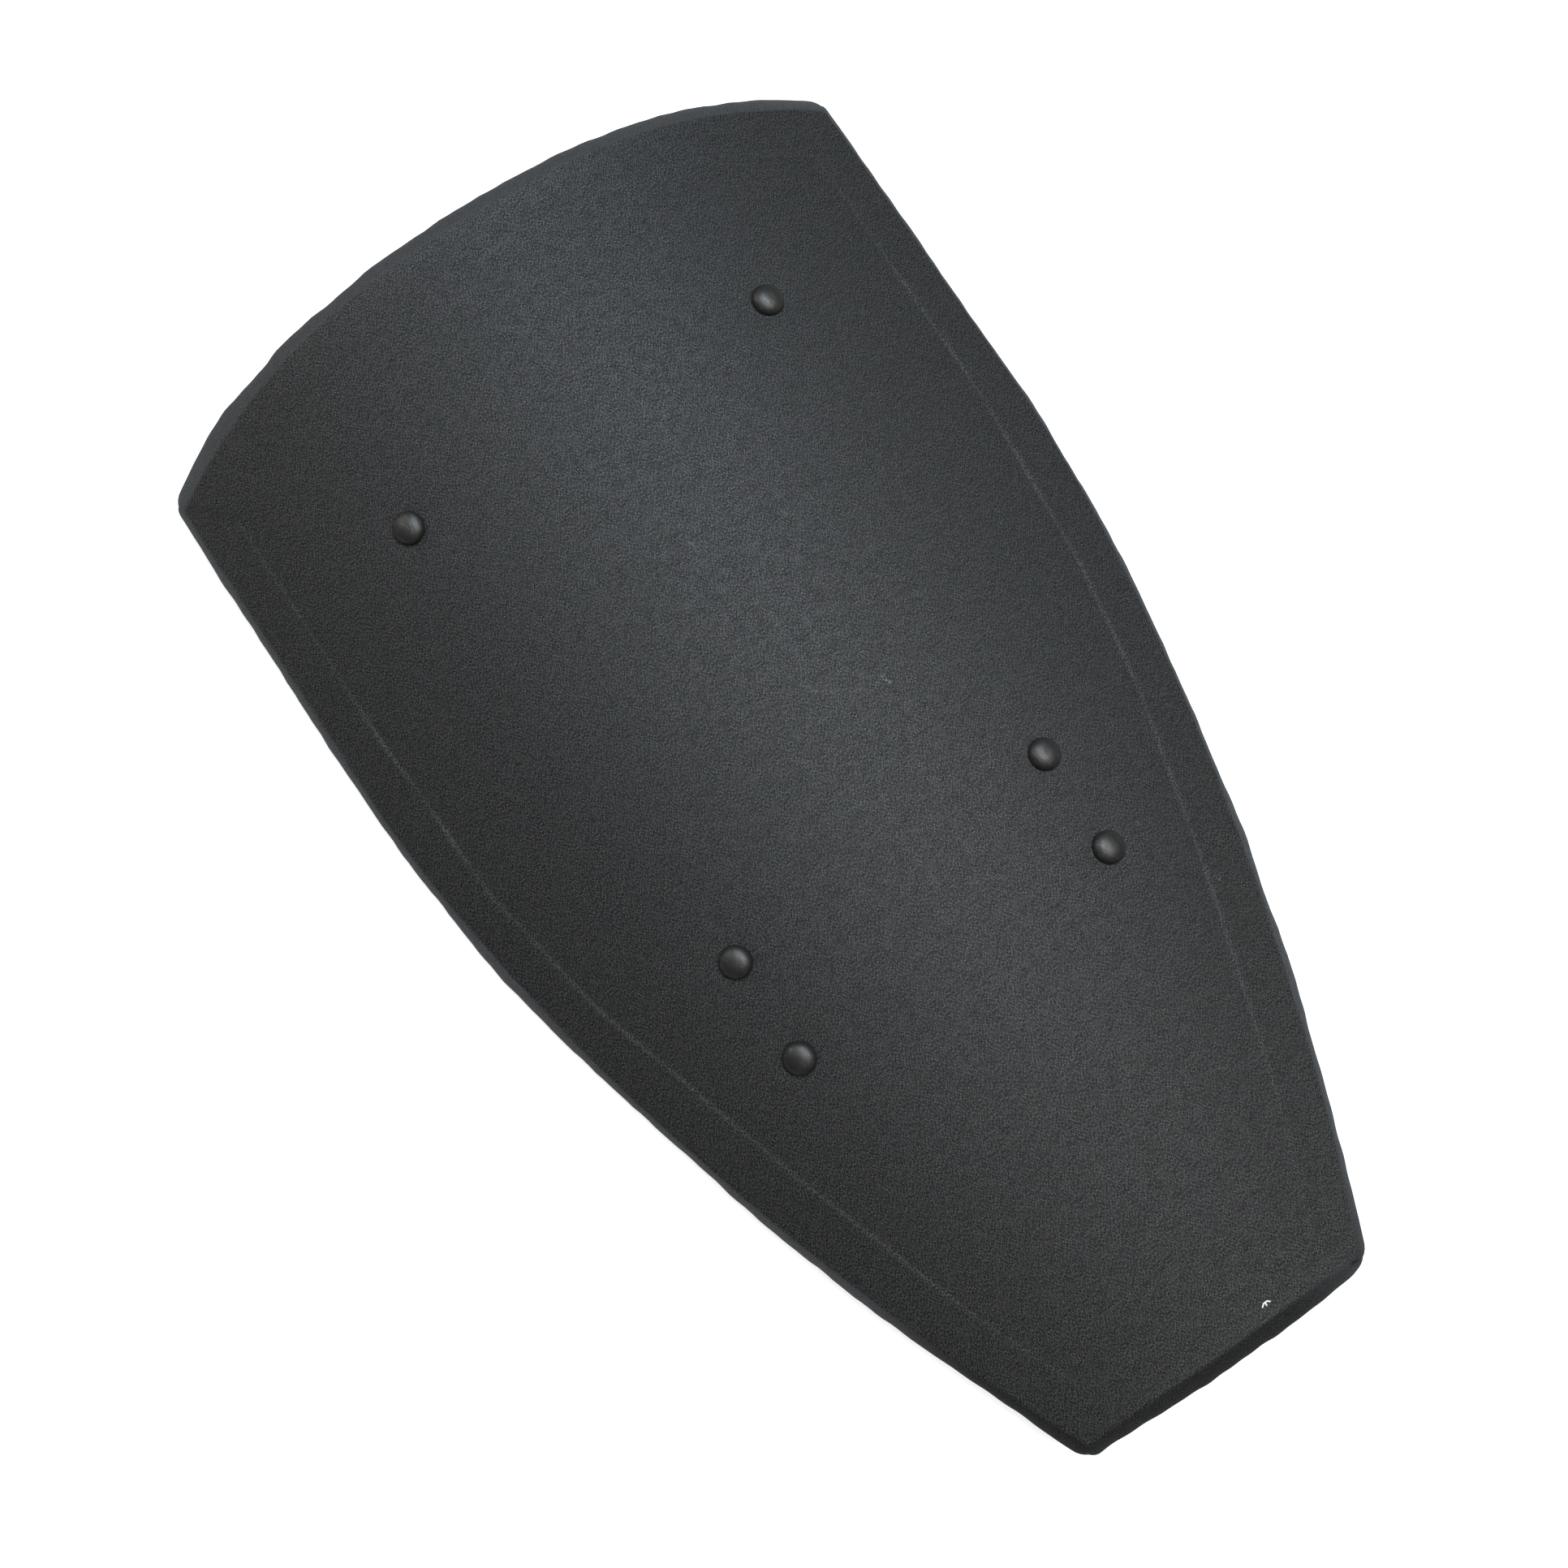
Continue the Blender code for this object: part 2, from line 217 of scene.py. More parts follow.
def read_points(piece):
    points = np.empty(len(piece.data.vertices) * 3)
    piece.data.vertices.foreach_get("co", points)
    return points.reshape(-1, 3)


def write_points(piece, points):
    piece.data.vertices.foreach_set("co", np.asarray(points, dtype=np.float32).ravel())
    piece.data.update()


LYING = laid_down()


def smooth_step(value, start, end):
    share = np.clip((value - start) / (end - start), 0, 1)
    return share * share * (3 - 2 * share)


def hill(value, middle, length, power=2):
    """A smooth rise to 1 at the middle."""
    return np.exp(-(((value - middle) / length) ** power))


def slope_across(x):
    """The angle of the front face at x, from level on the middle line."""
    return x / MIDDLE_BEND_RADIUS * (1 - (x / BEND_REACH) ** 2 / 3)


def bend(x, y, depth):
    """Where points of the blank lie once the board is bent and the shield is laid down."""
    x, y, depth = np.broadcast_arrays(np.asarray(x, float), y, depth)
    weights = np.where(np.arange(BEND_STEPS + 1) % 2, 4.0, 2.0)
    weights[[0, -1]] = 1
    angles = slope_across(np.multiply.outer(x, np.linspace(0, 1, BEND_STEPS + 1)))
    across = (np.cos(angles) @ weights) * x / (3 * BEND_STEPS)
    drop = (np.sin(angles) @ weights) * x / (3 * BEND_STEPS)
    turn = slope_across(x)
    points = np.stack([across - depth * np.sin(turn), y, -drop - depth * np.cos(turn)], axis=-1)
    lying = np.array(LYING)
    return points @ lying[:3, :3].T + lying[:3, 3]


def on_face(x, y):
    """The place of a fastener on the front face, with its own Z along the face's normal."""
    lean = Matrix.Rotation(slope_across(x), 4, "Y")
    upright = LYING.to_3x3().to_4x4() @ lean
    return Matrix.Translation(Vector(bend(x, y, 0.0))) @ upright


def squeezed(into_side, into_end):
    """The share that a point's reach into a square corner keeps once the corner is round."""
    reach = np.maximum(np.hypot(into_side, into_end), 1e-9)
    return np.where(into_side * into_end > 0, np.maximum(into_side, into_end) / reach, 1.0)


def outline(across, along, inset):
    """Points of the blank within an inset outline: across from -1 to 1, along from 0 at the foot to 1 at the head."""
    share = np.abs(across)
    arch_slant = 2 * ARCH_DROP * ARCH_POWER * share ** (ARCH_POWER - 1) / WIDTH
    head = LENGTH - ARCH_DROP * share ** ARCH_POWER - inset * np.hypot(1, arch_slant)
    y = inset + along * (head - inset)
    flank = LENGTH - FLANK_START
    below = np.clip(flank - y, 0, None) / flank
    draw_in = (WIDTH - FOOT_WIDTH) / 2
    flank_slant = draw_in * FLANK_POWER * below ** (FLANK_POWER - 1) / flank
    half = WIDTH / 2 - draw_in * below ** FLANK_POWER - inset * np.hypot(1, flank_slant)
    radius = np.clip(CORNER_RADIUS - inset, 0.0001, 2 * CORNER_RADIUS)
    from_foot = along < 0.5
    into_side = np.clip(1 - half * (1 - share) / radius, 0, None)
    into_end = np.clip(1 - np.where(from_foot, y - inset, head - y) / radius, 0, None)
    squeeze = squeezed(into_side, into_end)
    x = np.sign(across) * (half * share - radius * into_side * (1 - squeeze))
    pull = radius * into_end * (1 - squeeze)
    return x, y + np.where(from_foot, pull, -pull)


def at_foot(along):
    return along < ON_BORDER


def at_head(along):
    return along > 1 - ON_BORDER


def on_ends(along):
    return at_foot(along) | at_head(along)


def edge_wave(across, along, x, y):
    """How far the hand-cut edge stands in or out: it wanders gently along each side and is true at the corners."""
    on_end = on_ends(along)
    distance = np.where(on_end, x, y)
    side = np.where(on_end, np.where(along > 0.5, 1.3, 4.1), np.where(across > 0, 0.4, 2.6))
    uneven = np.sin(distance / 0.021)
    wave = EDGE_WAVE_HEIGHT * sum(
        share * np.sin(2 * math.pi * distance / length + shift * side + unevenness * uneven)
        for share, length, shift, unevenness in EDGE_WAVES
    )
    left = ~on_end & (across < 0)
    right = ~on_end & (across > 0)
    sides = {"left": left, "right": right, "head": at_head(along), "foot": at_foot(along)}
    for name, swells in EDGE_SWELLS.items():
        for middle, length, height in swells:
            wave = wave + height * hill(distance, middle, length) * sides[name]
    true_at_corners = np.where(on_end, 1 - np.abs(across), 2 * np.minimum(along, 1 - along))
    return wave * smooth_step(true_at_corners, 0, 0.14)


def band_line(across, along, y):
    """How far inside the rim the hidden second layer of canvas ends."""
    on_flank = BAND_AT_CORNERS + (BAND_AT_WAIST - BAND_AT_CORNERS) * smooth_step(-y, -0.31, -0.22)
    on_flank = on_flank + (BAND_AT_FOOT - BAND_AT_WAIST) * smooth_step(-y, -0.13, -0.04)
    for side, middle, length, difference in BAND_SWELLS:
        on_flank = on_flank + difference * hill(y, middle, length) * (np.sign(across) == side)
    on_head = BAND_AT_HEAD + (BAND_AT_CORNERS - BAND_AT_HEAD) * across ** 2
    return np.where(at_head(along), on_head, np.where(at_foot(along), BAND_AT_FOOT, on_flank))


def rubbed_through(across, y):
    """How much the edge of the hidden band is rubbed grey along each flank; it shows in stretches."""
    worn = np.full_like(y, 0.05)
    for side, begin, end, strength in BAND_RUBS:
        here = smooth_step(y, begin - RUB_FADE, begin + RUB_FADE) * smooth_step(-y, -end - RUB_FADE, RUB_FADE - end)
        worn = np.maximum(worn, strength * here * (np.sign(across) == side))
    return worn


def toward_end(across, along, y):
    """1 along the head and the foot, 0 along the flanks, and one half at the corners."""
    end_half = np.where(along > 0.5, WIDTH, FOOT_WIDTH) / 2
    from_corner = np.where(on_ends(along), (1 - np.abs(across)) * end_half, np.minimum(y, LENGTH - y))
    beside = 0.5 * (1 - smooth_step(from_corner, 0, CORNER_BLEND))
    return np.where(on_ends(along), 1 - beside, beside)


# Modelling by hand: primitives, edit mode and applied modifiers

def start(primitive, **settings):
    """Adds a primitive with nothing else selected, and gives its object."""
    bpy.ops.object.select_all(action="DESELECT")
    getattr(bpy.ops.mesh, primitive)(**settings)
    return bpy.context.active_object


def only(piece):
    bpy.ops.object.select_all(action="DESELECT")
    piece.select_set(True)
    bpy.context.view_layer.objects.active = piece


def apply_all(piece):
    only(piece)
    for modifier in list(piece.modifiers):
        bpy.ops.object.modifier_apply(modifier=modifier.name)


@contextlib.contextmanager
def all_of(piece):
    """Edit mode on one piece, with all of its mesh selected."""
    only(piece)
    bpy.ops.object.mode_set(mode="EDIT")
    bpy.ops.mesh.select_all(action="SELECT")
    yield
    bpy.ops.object.mode_set(mode="OBJECT")


def outwards(piece):
    with all_of(piece):
        bpy.ops.mesh.normals_make_consistent(inside=False)


def turn_over(piece):
    with all_of(piece):
        bpy.ops.mesh.flip_normals()


def finish_piece(piece, name, finish, slot, *nodes, smooth=40):
    """Names a piece, gives it its material, and lets it ride in place of its solids."""
    piece.name = name
    piece.data.name = name
    piece.data.materials.clear()
    piece.data.materials.append(finish)
    only(piece)
    bpy.ops.object.shade_smooth_by_angle(angle=math.radians(smooth))
    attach(piece, "root")
    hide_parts(*nodes)


def set_layer(piece, name, values):
    layer = piece.data.attributes.new(name, "FLOAT", "POINT")
    layer.data.foreach_set("value", np.asarray(values, dtype=np.float32))


def set_flat_map(piece, x, y):
    """A UV map in metres on the cloth, hide or veneer as it was before it was bent."""
    corners = np.empty(len(piece.data.loops), dtype=np.int32)
    piece.data.loops.foreach_get("vertex_index", corners)
    flat = piece.data.uv_layers.new(name="flat")
    flat.data.foreach_set("uv", np.stack([x, y], axis=-1)[corners].astype(np.float32).ravel())


def grid(columns, rows):
    return start("primitive_grid_add", x_subdivisions=columns, y_subdivisions=rows, size=2)


def blank_with_rings(columns, rows, rings):
    """A flat grid with its border extruded upwards in rings, and each vertex's place on the blank and its ring."""
    sheet = grid(columns, rows)
    with all_of(sheet):
        bpy.ops.mesh.select_mode(type="EDGE")
        bpy.ops.mesh.region_to_loop()
        for _ in range(rings):
            bpy.ops.mesh.extrude_edges_move(TRANSFORM_OT_translate={"value": (0, 0, 1)})
        bpy.ops.mesh.select_mode(type="VERT")
    ring = np.rint(read_points(sheet)[:, 2]).astype(int)
    return sheet, *places_on_blank(sheet), ring


def places_on_blank(sheet):
    """Where each point of a grid belongs: across from -1 to 1, and along from 0 to 1."""
    points = read_points(sheet)
    return closer_at_ends(points[:, 0]), (closer_at_ends(points[:, 1]) + 1) / 2


def closer_at_ends(share):
    """Spreads even steps from -1 to 1 so that they lie half as far apart at the ends."""
    return 0.5 * share + 0.5 * np.sin(share * math.pi / 2)


def turns(steps, whole=math.pi / 2):
    """The angles after each step of a turn."""
    return [whole * index / steps for index in range(1, steps + 1)]


def rim_profile(below, shoulder):
    """Rings over the rim for a layer below the surface: inset, depth, and the inset on the cloth while it is flat."""
    profile = []
    for turn in [0, *turns(SHOULDER_STEPS)]:
        inset = shoulder - (shoulder - below) * math.sin(turn) ** (2 / SHOULDER_POWER)
        depth = SHOULDER_DEPTH - (SHOULDER_DEPTH - below) * math.cos(turn) ** (2 / SHOULDER_POWER)
        profile.append((inset, depth))
    reach = BACK_ROUND - below
    for turn in turns(BACK_STEPS):
        profile.append((BACK_ROUND - reach * math.cos(turn), RIM_THICKNESS - BACK_ROUND + reach * math.sin(turn)))
    used = 0.0
    rings = [(*profile[0], shoulder)]
    for before, after in itertools.pairwise(profile):
        used += math.dist(before, after)
        rings.append((*after, shoulder - used))
    return rings


# The canvas

BAND_OFFSETS = [0.0048, 0.0032, 0.0022, 0.0015, 0.0009, 0.0003, -0.0003, -0.0009, -0.0016, -0.0026, -0.0040]
MARGIN_OFFSETS = [0.0070, 0.0042, 0.0022, 0.0008]
BAND_END = 1 + len(BAND_OFFSETS)  # the number of the ring after the band's, with the field as ring 0
FRONT_END = BAND_END + len(MARGIN_OFFSETS) + SHOULDER_STEPS
BACK_START = FRONT_END + BACK_STEPS
HEM_INSETS = [0.0055, 0.0085, 0.012, 0.016, 0.020, 0.0235, 0.0258]
HEM_FOLD = 0.0007
HEM_LIFT = 0.00025


def near_edge(inset):
    """1 near the cut edge, fading to 0 in the field."""
    return smooth_step(-inset, -0.030, -0.004)


def relief(across, x, y, inset, band):
    """How far the front of the cloth stands proud of the blank's face."""
    outside = smooth_step(band - inset, -BAND_STEP / 2, BAND_STEP / 2)
    plainer_at_ends = 0.35 + 0.65 * smooth_step(y, 0.03, 0.11) * smooth_step(-y, 0.02 - LENGTH, -0.58)
    height = BAND_HEIGHT * plainer_at_ends * outside
    height = height + BAND_BEAD * plainer_at_ends * hill(inset, band, 0.0008)
    height = height * smooth_step(inset, 0.002, 0.007)
    ripple = np.sin(x / 0.0052 + 6 * np.sin(y / 0.09)) * np.sin(y / 0.047 + x / 0.06)
    slack = np.sin(x / 0.021 + 1.3 * np.sin(y / 0.033)) + np.sin(y / 0.026 + 2.0 * np.sin(x / 0.037) + 1.0)
    height = height + 0.00002 * slack + 0.000022 * ripple * smooth_step(y, 0.42, 0.6) * smooth_step(x, -0.02, 0.1)
    for rivet_x, rivet_y in RIVET_PLACES.values():
        height = height - DIMPLE_DEPTH * hill(np.hypot(x - rivet_x, y - rivet_y), 0, 0.0105, power=4)
    return height


def canvas_rings(shoulder):
    """The rings of the canvas: its field, both sides of the band line, the margin, the rim and the hem."""
    rings = [(FIELD_INSET, 0.0, FIELD_INSET)] * BAND_END
    rings += [(shoulder + offset, 0.0, shoulder + offset) for offset in MARGIN_OFFSETS]
    rings += rim_profile(0.0, shoulder)
    turned_under = rings[-1][2] + rings[-1][0]
    rings += [(inset, RIM_THICKNESS, turned_under - inset) for inset in HEM_INSETS + [HEM_WIDTH]]
    return np.array(rings)


def make_canvas(finish):
    """One sheet of canvas, stretched over the front and the rim and glued down behind as a hem."""
    flank_rings = canvas_rings(FLANK_SHOULDER)
    end_rings = canvas_rings(END_SHOULDER)
    last = len(flank_rings) - 1
    sheet, across, along, ring = blank_with_rings(*CANVAS_GRID, last)
    x, y = outline(across, along, 0.0)
    share = toward_end(across, along, y)[:, None]
    inset, depth, used = (flank_rings[ring] * (1 - share) + end_rings[ring] * share).T
    share = share[:, 0]
    shoulder_at = FLANK_SHOULDER + (END_SHOULDER - FLANK_SHOULDER) * share
    field = ring == 0
    band = band_line(across, along, y)
    on_band = ~field & (ring < BAND_END)
    inset[on_band] = band[on_band] + np.array(BAND_OFFSETS)[ring[on_band] - 1]
    used[on_band] = inset[on_band]
    front = ring < FRONT_END
    behind = ring >= BACK_START
    wave = edge_wave(across, along, x, y) * near_edge(inset)
    raw_edge = 0.0011 * np.sin(y / 0.009 + x / 0.013) + 0.0006 * np.sin(y / 0.0031 - x / 0.004)
    inset = inset - np.where(field, 0, wave) + np.where(ring == last, raw_edge, 0)
    blank_x, blank_y = outline(across, along, inset)
    proud = np.where(front, relief(across, blank_x, blank_y, inset, band), 0.0)
    fold = on_ends(along) * smooth_step(np.abs(across), 0.72, 0.9)
    lapped = HEM_FOLD * fold * smooth_step(inset, 0.002, 0.005) * behind
    lift = HEM_LIFT * (1 + np.sin(x / 0.011 + y / 0.017)) * smooth_step(inset, 0.018, HEM_WIDTH) * behind
    write_points(sheet, bend(blank_x, blank_y, depth - proud + lapped + lift))
    set_flat_map(sheet, *outline(across, along, used))
    on_flanks = (1 - share) * rubbed_through(across, blank_y) * front
    set_layer(sheet, "band", hill(inset, band, 0.0014) * on_flanks)
    outside = (shoulder_at - inset) / 0.0007
    rim = np.where(front, smooth_step(outside, -1.0, 0.8), 1.0 - behind)
    set_layer(sheet, "rim", rim)
    # Painted light on the rim: a lighter grey strip on both flanks and the head, where light falls, and none at the
    # foot or the low end of the left flank, which lie in shade
    lit_flank = (1 - share) * np.where(across < 0, smooth_step(blank_y, 0.05, 0.13), 1.0)
    set_layer(sheet, "painted_rim_light", rim * (lit_flank + 0.65 * share * (along > 0.5)))
    set_layer(sheet, "edge_strip", np.where(front, smooth_step(-inset, -0.024, -0.012), 0.0))
    cut_holes(sheet, blank_x, blank_y)
    face_up(sheet)
    cloth = sheet.modifiers.new("canvas thickness", "SOLIDIFY")
    cloth.thickness = CANVAS_THICKNESS
    cloth.offset = -1
    apply_all(sheet)
    finish_piece(sheet, "canvas", finish, "canvas", "canvas_cover", smooth=60)
    flank = LENGTH - FLANK_START
    beside = (WIDTH - FOOT_WIDTH) * flank / (FLANK_POWER + 1)
    above = ARCH_DROP * WIDTH / (ARCH_POWER + 1)
    share = (LENGTH * WIDTH - beside - above) / (LENGTH * WIDTH)


def cut_holes(sheet, blank_x, blank_y):
    """Opens the sheet where the shanks pass, under the rivet heads."""
    with all_of(sheet):
        bpy.ops.mesh.select_all(action="DESELECT")
    for x, y in RIVET_PLACES.values():
        for index in np.flatnonzero(np.hypot(blank_x - x, blank_y - y) < HOLE_RADIUS):
            sheet.data.vertices[index].select = True
    bpy.ops.object.mode_set(mode="EDIT")
    bpy.ops.mesh.select_mode(type="VERT")
    bpy.ops.mesh.delete(type="VERT")
    bpy.ops.object.mode_set(mode="OBJECT")


def face_up(sheet):
    """Turns an open sheet's faces so that its front looks up."""
    outwards(sheet)
    middle = read_points(sheet).mean(axis=0)
    nearest = min(sheet.data.polygons, key=lambda face: (face.center - Vector(middle)).xy.length)
    if nearest.normal.z < 0:
        turn_over(sheet)


# The board

BOARD_SET_BACK = 0.0002


def make_board(finish):
    """The bent plywood board, with the same rounded rim, just under the canvas."""
    flank_rings = np.array(rim_profile(LAYER, FLANK_SHOULDER))
    end_rings = np.array(rim_profile(LAYER, END_SHOULDER))
    sheet, across, along, ring = blank_with_rings(*BOARD_GRID, len(flank_rings) - 1)
    share = toward_end(across, along, outline(across, along, 0.0)[1])[:, None]
    inset, depth, _ = (flank_rings[ring] * (1 - share) + end_rings[ring] * share).T
    shape_board(sheet, across, along, inset, depth, ring > 0)
    back = grid(*BOARD_GRID)
    across, along = places_on_blank(back)
    border = (np.abs(across) > 1 - ON_BORDER) | on_ends(along)
    last_inset, last_depth, _ = flank_rings[-1]
    shape_board(back, across, along, last_inset, last_depth, border)
    only(sheet)
    back.select_set(True)
    bpy.ops.object.join()
    with all_of(sheet):
        bpy.ops.mesh.remove_doubles(threshold=0.00002)
        bpy.ops.mesh.normals_make_consistent(inside=False)
    for x, y in RIVET_PLACES.values():
        drill(sheet, x, y)
    finish_piece(sheet, "bent_board", finish, "plywood", "board", smooth=50)


def shape_board(sheet, across, along, inset, depth, at_edge):
    """Bends one side of the board, with its edge as wavy as the canvas's and a little behind it."""
    wave = edge_wave(across, along, *outline(across, along, 0.0)) * near_edge(inset)
    blank_x, blank_y = outline(across, along, inset - (wave - BOARD_SET_BACK) * at_edge)
    write_points(sheet, bend(blank_x, blank_y, depth))
    set_flat_map(sheet, blank_x, blank_y)


def drill(piece, x, y):
    """Takes a rivet's hole out of a solid piece."""
    reach = TAIL_FACE + HEAD_HEIGHT
    cutter = start("primitive_cylinder_add", vertices=32, radius=HOLE_RADIUS, depth=2 * reach)
    cutter.data.transform(on_face(x, y))
    cut = piece.modifiers.new("hole", "BOOLEAN")
    cut.object = cutter
    cut.operation = "DIFFERENCE"
    cut.solver = "EXACT"
    apply_all(piece)
    bpy.data.objects.remove(cutter)


# Rivets and washers

def turned(name, rings, segments):
    """A turned solid: a circle that is extruded and resized from ring to ring, and closed at both ends."""
    radius, height = rings[0]
    solid = start("primitive_circle_add", vertices=segments, radius=radius, location=(0, 0, height))
    bpy.ops.object.transform_apply(location=True)
    with all_of(solid):
        close_ring(radius)
    select_level(solid, height, radius)
    bpy.ops.object.mode_set(mode="EDIT")
    bpy.ops.mesh.select_mode(type="EDGE")
    for next_radius, next_height in rings[1:]:
        bpy.ops.mesh.extrude_edges_move(TRANSFORM_OT_translate={"value": (0, 0, next_height - height)})
        share = next_radius / radius
        bpy.ops.transform.resize(value=(share, share, 1), center_override=(0, 0, next_height))
        radius, height = next_radius, next_height
    close_ring(radius)
    bpy.ops.mesh.select_mode(type="VERT")
    bpy.ops.object.mode_set(mode="OBJECT")
    solid.name = name
    outwards(solid)
    return solid


def close_ring(radius):
    """Closes the selected ring with a fan of faces."""
    bpy.ops.mesh.edge_face_add()
    bpy.ops.mesh.inset(thickness=radius * 0.6)
    bpy.ops.mesh.merge(type="COLLAPSE")


def select_level(solid, height, radius):
    """Selects the ring of edges at one height and radius."""
    mesh = solid.data
    for vert in mesh.vertices:
        vert.select = abs(vert.co.z - height) < 1e-6 and abs(vert.co.xy.length - radius) < radius * 0.01
    for edge in mesh.edges:
        edge.select = all(mesh.vertices[index].select for index in edge.vertices)
    for face in mesh.polygons:
        face.select = False


def rivet_form():
    """A dome-headed rivet: the head on the canvas, the shank, and the tail peened over its washer."""
    rings = []
    for angle in turns(HEAD_STEPS):
        rings.append((HEAD_RADIUS * math.sin(angle) ** 0.98, HEAD_HEIGHT * math.cos(angle) ** 0.9 + 0.0004))
    rings += [(HEAD_RADIUS, 0.0003), (HEAD_RADIUS - 0.0002, -0.0001), (SHANK_RADIUS, -0.0001)]
    rings += [(SHANK_RADIUS, -TAIL_FACE), (TAIL_RADIUS - 0.0003, -TAIL_FACE), (TAIL_RADIUS, -TAIL_FACE - 0.0004)]
    for angle in turns(TAIL_STEPS, math.radians(80)):
        height = -TAIL_FACE - 0.0004 - (TAIL_HEIGHT - 0.0004) * math.sin(angle)
        rings.append((TAIL_RADIUS * math.cos(angle) ** 0.7, height))
    return turned("rivet form", rings, 48)


def washer_form():
    """A round washer with its edges broken, under the rivet's tail."""
    washer = start("primitive_cylinder_add", vertices=48, radius=WASHER_RADIUS, depth=WASHER_THICKNESS)
    middle = -WASHER_FACE - WASHER_THICKNESS / 2
    with all_of(washer):
        bpy.ops.transform.translate(value=(0, 0, middle))
    cutter = start("primitive_cylinder_add", vertices=32, radius=HOLE_RADIUS, depth=1, location=(0, 0, middle))
    bpy.ops.object.transform_apply(location=True)
    hole = washer.modifiers.new("hole", "BOOLEAN")
    hole.object = cutter
    hole.solver = "EXACT"
    edges = washer.modifiers.new("broken edges", "BEVEL")
    edges.width = 0.00025
    edges.segments = 2
    apply_all(washer)
    bpy.data.objects.remove(cutter)
    return washer


def set_at_rivets(form, name, node, finish):
    """Copies a form to every rivet's place, each copy with its own mesh."""
    for spot, place in RIVET_PLACES.items():
        only(form)
        bpy.ops.object.duplicate(linked=False)
        piece = bpy.context.active_object
        piece.data.transform(on_face(*place))
        finish_piece(piece, f"{name}_{spot}", finish, "blackened_steel", f"{node}_{spot}", smooth=50)
    bpy.data.objects.remove(form)


# Straps

CREASE_INSET = 0.0036
CREASE_WIDTH = 0.0008
CREASE_DEPTH = 0.00045
EDGE_ROUND = 0.0007


def make_strap(name, node, y, spread, width, rise, finish):
    """A strap of harness leather, creased along its edges, flat at its rivets and bowed off the board between."""
    half_length = spread / 2 + STRAP_END
    free = spread / 2 - STRAP_FOOT
    strap = grid(*STRAP_GRID)
    points = read_points(strap)
    across, along = points[:, 0], points[:, 1]
    half_width = width / 2
    near_end = np.clip(1 - half_length * (1 - np.abs(across)) / STRAP_CORNER, 0, None)
    near_side = np.clip(1 - half_width * (1 - np.abs(along)) / STRAP_CORNER, 0, None)
    squeeze = squeezed(near_end, near_side)
    flat_x = np.sign(across) * (half_length * np.abs(across) - STRAP_CORNER * near_end * (1 - squeeze))
    flat_y = np.sign(along) * (half_width * np.abs(along) - STRAP_CORNER * near_side * (1 - squeeze))
    from_edge = np.minimum(half_width - np.abs(flat_y), half_length - np.abs(flat_x))
    in_corner = near_end * near_side > 0
    from_edge = np.where(in_corner, STRAP_CORNER * (1 - np.hypot(near_end, near_side) * squeeze), from_edge)
    bow = (1 - np.minimum(np.abs(flat_x) / free, 1) ** STRAP_BOW_POWER) ** 2
    crease = hill(from_edge, CREASE_INSET, CREASE_WIDTH)
    crown = EDGE_ROUND * smooth_step(from_edge, 0, 0.0016) - EDGE_ROUND
    wear = 0.00012 * np.sin(flat_x / 0.012 + flat_y / 0.03) * np.sin(flat_y / 0.011)
    bearing = sum(
        DIMPLE_DEPTH * hill(np.hypot(flat_x - sign * spread / 2, y + flat_y - rivet_y), 0, 0.0115, power=4)
        for sign in (-1, 1) for rivet_y in {place[1] for place in RIVET_PLACES.values()}
    )
    depth = STRAP_FACE + LEATHER_THICKNESS + rise * bow + crown - CREASE_DEPTH * crease + wear - bearing
    write_points(strap, bend(flat_x, y + flat_y, depth))
    set_flat_map(strap, flat_x, flat_y)
    set_layer(strap, "edge", 1 - smooth_step(from_edge, 0.0004, 0.0026))
    set_layer(strap, "crease", crease)
    set_layer(strap, "flex", bow * (1 - bow) * 4)
    face_up(strap)
    turn_over(strap)
    hide = strap.modifiers.new("leather", "SOLIDIFY")
    hide.thickness = LEATHER_THICKNESS - EDGE_ROUND
    hide.offset = -1
    apply_all(strap)
    outwards(strap)
    for rivet_x, rivet_y in RIVET_PLACES.values():
        if abs(rivet_y - y) < half_width:
            drill(strap, rivet_x, rivet_y)
    finish_piece(strap, name, finish, "leather", node, smooth=50)


# Node graphs

